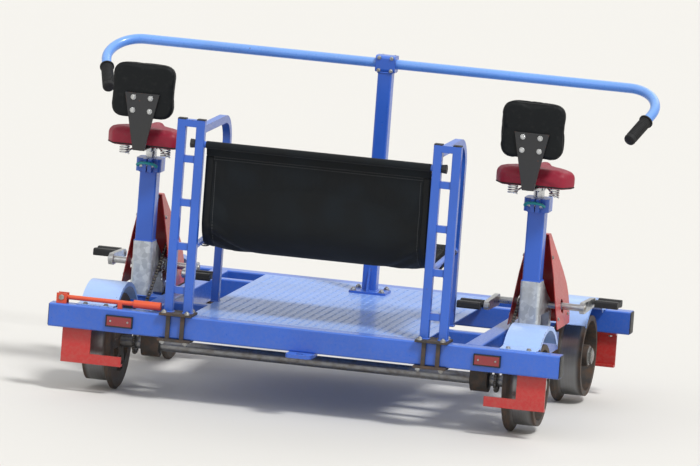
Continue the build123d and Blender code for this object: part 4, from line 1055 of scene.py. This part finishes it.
# Weld beads, rippled, the same on both sides of the car, in metres
welds = {
    "pitch": 0.0045, "radius": 0.0030, "waist": 0.78,
    "tubes": (
        # upright box tubes: x (None is the pedal station's), y, heights, half width
        (None, -0.160, (0.2965,), 0.036), (None, -0.160, (0.4855, 0.7255), 0.031),    # mast
        (0.412, -0.605, (0.3135,), 0.0155), (0.478, -0.605, (0.3135,), 0.0155),       # bench posts
        (0.412, -0.190, (0.3055,), 0.0135),                                           # arm hoop
    ),
    "barPost": {"y": 0.400, "heights": (0.3135, 1.0755), "half": 0.0255},
    "beads": (
        # the axis that they run along, x, y, z: from and to on that axis, else every place; radius
        ("x", (0.5475, 0.6025), (-0.575, 0.575), (0.228, 0.302), 0.0030),        # side members
        ("z", (0.545, 0.605), (-0.575, 0.575), (0.2305, 0.2995), 0.0030),
        ("y", (0.427, 0.463), (-0.614, -0.596),                                  # rungs
         (0.378, 0.402, 0.528, 0.552, 0.678, 0.702, 0.828, 0.852), 0.0024),
        ("z", (0.427, 0.463), (-0.614,), (0.378, 0.402), 0.0024),
        ("z", (0.427, 0.463), (-0.614,), (0.528, 0.552), 0.0024),
        ("z", (0.427, 0.463), (-0.614,), (0.678, 0.702), 0.0024),
        ("z", (0.427, 0.463), (-0.614,), (0.828, 0.852), 0.0024),
        ("x", (0.399, 0.425), (-0.590,), (0.932, 0.958), 0.0026),                # arm hoops
        ("z", (0.605,), (-0.194, -0.126), (0.258, 0.296), 0.0028),               # outriggers
        ("z", (0.605,), (0.014, 0.074), (0.258, 0.284), 0.0028),
        ("z", (0.545,), (-0.280, -0.240, 0.380, 0.420), (0.228, 0.299), 0.0028),     # cross tubes
    ),
}


def addWeld(bm, start, end, radius):
    # a bead between two places
    start, end = Vector(start), Vector(end)
    steps = 2 * max(2, round((end - start).length / welds["pitch"]))
    line = [start.lerp(end, i / steps) for i in range(steps + 1)]
    radii = [radius * (1.0 if i % 2 else welds["waist"]) for i in range(steps + 1)]
    addRod(bm, line, radii, sides=6)


def weldAround(bm, x, y, z, half):
    # beads round an upright box tube at this height
    corners = [(x + a * half, y + b * half, z) for a, b in ((-1, -1), (1, -1), (1, 1), (-1, 1))]
    for i, corner in enumerate(corners):
        addWeld(bm, corner, corners[i - 1], welds["radius"])


def buildWelds():
    bm = bmesh.new()
    for way in (-1, 1):
        for x, y, heights, half in welds["tubes"]:
            for z in heights:
                weldAround(bm, way * (x or stationX), y, z, half)
        for axis, xs, ys, zs, radius in welds["beads"]:
            places = {"x": [way * x for x in xs], "y": ys, "z": zs}
            run = places[axis]
            places[axis] = [None]
            for x in places["x"]:
                for y in places["y"]:
                    for z in places["z"]:
                        start, end = ([e if c is None else c for c in (x, y, z)] for e in run)
                        addWeld(bm, start, end, radius)
    post = welds["barPost"]
    for z in post["heights"]:
        weldAround(bm, 0.0, post["y"], z, post["half"])
    finishPiece("weld_beads", bm, [blueEnamel], "chassis", smooth=60)


# Plugs in the open tube ends, axle seals, knobs on the back rail and rims round the reflectors
caps = {
    "postPlug": {"x": (0.412, 0.478), "y": (-0.605,), "halfX": 0.0145, "halfY": 0.0145,
                 "low": 0.9745, "top": 0.9790, "round": 0.0015},
    "beamPlug": {"x": (0.88925,), "y": (-0.605, 0.605), "halfX": 0.00175, "halfY": 0.027,
                 "low": 0.228, "top": 0.302, "round": 0.001},
    "seal": {"faces": ((0.545, -1), (0.605, 1)), "radius": 0.031, "lip": 0.029, "sunk": 0.001,
             "proud": 0.004},
    "knob": {"x": 0.427, "y": -0.601, "z": 0.894, "radius": 0.014, "endRadius": 0.016, "length": 0.018},
    "lensRim": {"x": 0.640, "z": 0.265, "outX": 0.047, "outZ": 0.020, "wide": 0.004, "back": -0.6349,
                "front": -0.6445, "round": 0.001},
}


def buildCaps():
    bm = bmesh.new()
    seal, knob, rim = caps["seal"], caps["knob"], caps["lensRim"]
    for way in (-1, 1):
        for plug in (caps["postPlug"], caps["beamPlug"]):
            halfX, halfY = plug["halfX"], plug["halfY"]
            for x in plug["x"]:
                for y in plug["y"]:
                    addBlock(bm, (way * x - halfX, y - halfY, plug["low"]),
                             (way * x + halfX, y + halfY, plug["top"]), plug["round"])
        for end in (-1, 1):
            for x, facing in seal["faces"]:
                spot = standing((way * x, end * axleY, axleZ), (way * facing, 0, 0))
                addDisc(bm, spot, seal["radius"], -seal["sunk"], seal["proud"], sides=36,
                        topRadius=seal["lip"])
        spot = standing((way * knob["x"], knob["y"], knob["z"]), (way, 0, 0))
        addDisc(bm, spot, knob["radius"], 0.0, knob["length"], sides=8, topRadius=knob["endRadius"])
        outX, outZ, wide = rim["outX"], rim["outZ"], rim["wide"]
        for lowX, lowZ, topX, topZ in ((-outX, -outZ, wide - outX, outZ), (outX - wide, -outZ, outX, outZ),
                                       (-outX, -outZ, outX, wide - outZ), (-outX, outZ - wide, outX, outZ)):
            addBlock(bm, (way * rim["x"] + lowX, rim["front"], rim["z"] + lowZ),
                     (way * rim["x"] + topX, rim["back"], rim["z"] + topZ), rim["round"])
    finishPiece("black_caps", bm, [capPlastic], "chassis")


# Axle ends: a washer and a large nut on each hub, and the chamfered end of the axle
hub = {"face": 0.787, "washer": 0.033, "washerThick": 0.0025, "nut": 0.0285, "nutTop": 0.0115,
       "chamferTop": 0.0135, "chamfer": 0.025, "end": 0.801, "endRadius": 0.0195, "endTop": 0.0015,
       "endChamfer": 0.0175, "sunk": 0.001}


def buildHubNuts():
    for end, way in (("rear", -1), ("front", 1)):
        bm = bmesh.new()
        for side in (-1, 1):
            spot = standing((side * hub["face"], way * axleY, axleZ), (side, 0, 0))
            addDisc(bm, spot, hub["washer"], -hub["sunk"], hub["washerThick"], sides=36)
            addDisc(bm, spot, hub["nut"], hub["washerThick"], hub["nutTop"], sides=6)
            addDisc(bm, spot, hub["nut"], hub["nutTop"], hub["chamferTop"], sides=6,
                    topRadius=hub["chamfer"])
            tip = standing((side * hub["end"], way * axleY, axleZ), (side, 0, 0))
            addDisc(bm, tip, hub["endRadius"], -hub["sunk"], hub["endTop"], sides=32,
                    topRadius=hub["endChamfer"])
        finishPiece(end + "_hub_nuts", bm, [boltSteel], end + "_wheelset")


# Cranks: a dust cap on each arm's boss, the pedal pin's end, and bolts that hold the chain ring.
# For each arm: x of its plane, which way the arm points along Y, which way it faces along X
crank = {
    "z": 0.385, "arms": ((0.530, -1, -1), (0.830, 1, 1)), "half": 0.008, "length": 0.170,
    "cap": 0.0130, "capTop": 0.0115, "capProud": 0.003, "key": 0.0060, "keyTop": 0.0045,
    "pin": 0.0100, "pinProud": 0.0035, "sunk": 0.001,
    "ringX": 0.634, "ringBolts": 5, "boltCircle": 0.066, "bolt": 0.004, "boltProud": 0.003,
}


def buildCrankCaps(side, way):
    bm = bmesh.new()
    z = crank["z"]
    for plane, along, out in crank["arms"]:
        boss = standing((way * (plane + out * crank["half"]), 0.0, z), (way * out, 0, 0))
        addDisc(bm, boss, crank["cap"], -crank["sunk"], crank["capProud"], sides=28,
                topRadius=crank["capTop"])
        addDisc(bm, boss, crank["key"], crank["capProud"], crank["keyTop"], sides=6)
        place = (way * (plane - out * crank["half"]), along * crank["length"], z)
        pin = standing(place, (-way * out, 0, 0))
        addDisc(bm, pin, crank["pin"], -crank["sunk"], crank["pinProud"], sides=6)
    for k in range(crank["ringBolts"]):
        t = 2 * math.pi * (k + 0.5) / crank["ringBolts"]
        circle = crank["boltCircle"]
        place = (way * crank["ringX"], circle * math.cos(t), z + circle * math.sin(t))
        addDisc(bm, standing(place, (way, 0, 0)), crank["bolt"], 0.0, crank["boltProud"], sides=6)
    finishPiece("crank_caps_" + side, bm, [boltSteel], "crank_" + side)


# Floor plate: small raised bars for grip, turned to one side and the other by turns
tread = {"pitch": 0.030, "length": 0.021, "width": 0.0072, "rise": 0.0014, "sunk": 0.0002, "taper": 0.6,
         "angle": 45, "margin": 0.020, "footX": 0.080, "footY": 0.070}


def buildTread():
    low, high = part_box("floor_plate")
    bm = bmesh.new()
    countX = int((high.x - low.x - 2 * tread["margin"]) / tread["pitch"])
    countY = int((high.y - low.y - 2 * tread["margin"]) / tread["pitch"])
    lift = (tread["rise"] - tread["sunk"]) / 2
    depth = tread["rise"] + tread["sunk"]
    shape = Matrix.Diagonal((tread["length"] / 2, tread["width"] / 2, 1.0, 1.0))
    for i in range(countX + 1):
        for j in range(countY + 1):
            x, y = (i - countX / 2) * tread["pitch"], (j - countY / 2) * tread["pitch"]
            if abs(x) < tread["footX"] and abs(y - welds["barPost"]["y"]) < tread["footY"]:
                continue
            angle = tread["angle"] if (i + j) % 2 else -tread["angle"]
            turn = Matrix.Rotation(math.radians(angle), 4, "Z")
            spot = Matrix.Translation((x, y, high.z + lift)) @ turn @ shape
            bmesh.ops.create_cone(bm, cap_ends=True, cap_tris=False, segments=6, radius1=1.0,
                                  radius2=tread["taper"], depth=depth, matrix=spot)
    finishPiece("floor_tread", bm, [shadedTreadEnamel], "chassis", smooth=50)


mastLow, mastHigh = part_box("mast_right")
stationX = (mastLow.x + mastHigh.x) / 2
seatTubeX = caps["postPlug"]["x"][0]
axleLow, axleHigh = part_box("front_axle")
axleY, axleZ = (axleLow.y + axleHigh.y) / 2, (axleLow.z + axleHigh.z) / 2
for side, way in sides.items():
    cover = buildSaddle(side)
    pad = buildBackrest(side, way * stationX)
    buildPiping(side, cover, pad)
    buildSeatSprings(side, way * stationX)
    buildSeatClamp(side, way)
print("seats and clamps are built")
for side, way in sides.items():
    buildChain(side, way)
    buildCrankCaps(side, way)
print("chains and crank caps are built")
buildCanvas()
print("the bench canvas hangs in its frame")
buildGrips()
buildChassisBolts()
buildWelds()
buildCaps()
buildHubNuts()
buildTread()
print("grips, bolts, welds, caps and tread are built")


# Camera, floor and light
view = {
    "azimuth": 12.0, "elevation": 7.8, "roll": 4.3, "distance": 45.0, "frameWidth": 2.40,
    "aim": (0.0, 0.0, 0.56), "sensor": 36.0, "clipEnd": 400.0,
}
floorLook = {"size": 160.0, "colour": "#DAD8D3", "roughness": 0.8}
lamps = (
    # name, sun direction towards the car as azimuth and elevation, strength, softness in degrees
    ("keySun", 48.0, 52.0, 2.3, 12.0),
    ("fillSun", -35.0, 30.0, 0.55, 50.0),
    ("rimSun", 170.0, 40.0, 0.45, 40.0),
)
skyLight = 0.55


def lookFrom(azimuth, elevation):
    # direction from the car to a place seen at this azimuth (0 is straight behind) and elevation
    a, e = math.radians(azimuth), math.radians(elevation)
    return Vector((math.sin(a) * math.cos(e), -math.cos(a) * math.cos(e), math.sin(e)))


camData = bpy.data.cameras.new("camera")
camera = addObject("camera", camData)
back = lookFrom(view["azimuth"], view["elevation"])
aim = back.to_track_quat("Z", "Y").to_matrix().to_4x4()
tilt = Matrix.Rotation(math.radians(view["roll"]), 4, "Z")
camera.matrix_world = Matrix.Translation(Vector(view["aim"]) + back * view["distance"]) @ aim @ tilt
camData.sensor_width = view["sensor"]
camData.lens = view["sensor"] * view["distance"] / view["frameWidth"]
camData.clip_end = view["clipEnd"]
bpy.context.scene.camera = camera

bm = bmesh.new()
bmesh.ops.create_grid(bm, x_segments=1, y_segments=1, size=floorLook["size"] / 2)
floorMesh = bpy.data.meshes.new("studio_floor")
bm.to_mesh(floorMesh)
bm.free()
floorMesh.materials.append(newMaterial("pale_floor", Roughness=floorLook["roughness"],
                                       Base_Color=paint(floorLook["colour"])))
floor = addObject("studio_floor", floorMesh)

for lampName, azimuth, elevation, strength, softness in lamps:
    lampData = bpy.data.lights.new(lampName, "SUN")
    lampData.energy = strength
    lampData.angle = math.radians(softness)
    lamp = addObject(lampName, lampData)
    lamp.rotation_euler = lookFrom(azimuth, elevation).to_track_quat("Z", "Y").to_euler()

world = bpy.data.worlds.new("studio")
world.use_nodes = True
bpy.context.scene.world = world
ambient = world.node_tree.nodes["Background"]
ambient.inputs["Strength"].default_value = skyLight
ambient.inputs["Color"].default_value = paint("#FFFFFF")
shown = addNode(world, "Background", {"Color": paint(floorLook["colour"]), "Strength": 1.0})
rays = addNode(world, "LightPath").node
seen = addNode(world, "Math", {0: rays.outputs["Is Camera Ray"], 1: rays.outputs["Is Glossy Ray"]},
               operation="MAXIMUM")
choose = addNode(world, "MixShader", {0: seen, 1: ambient.outputs[0], 2: shown})
world.node_tree.links.new(choose, world.node_tree.nodes["World Output"].inputs["Surface"])
bpy.context.scene.view_settings.view_transform = "Standard"
print("camera, floor and light are in place")
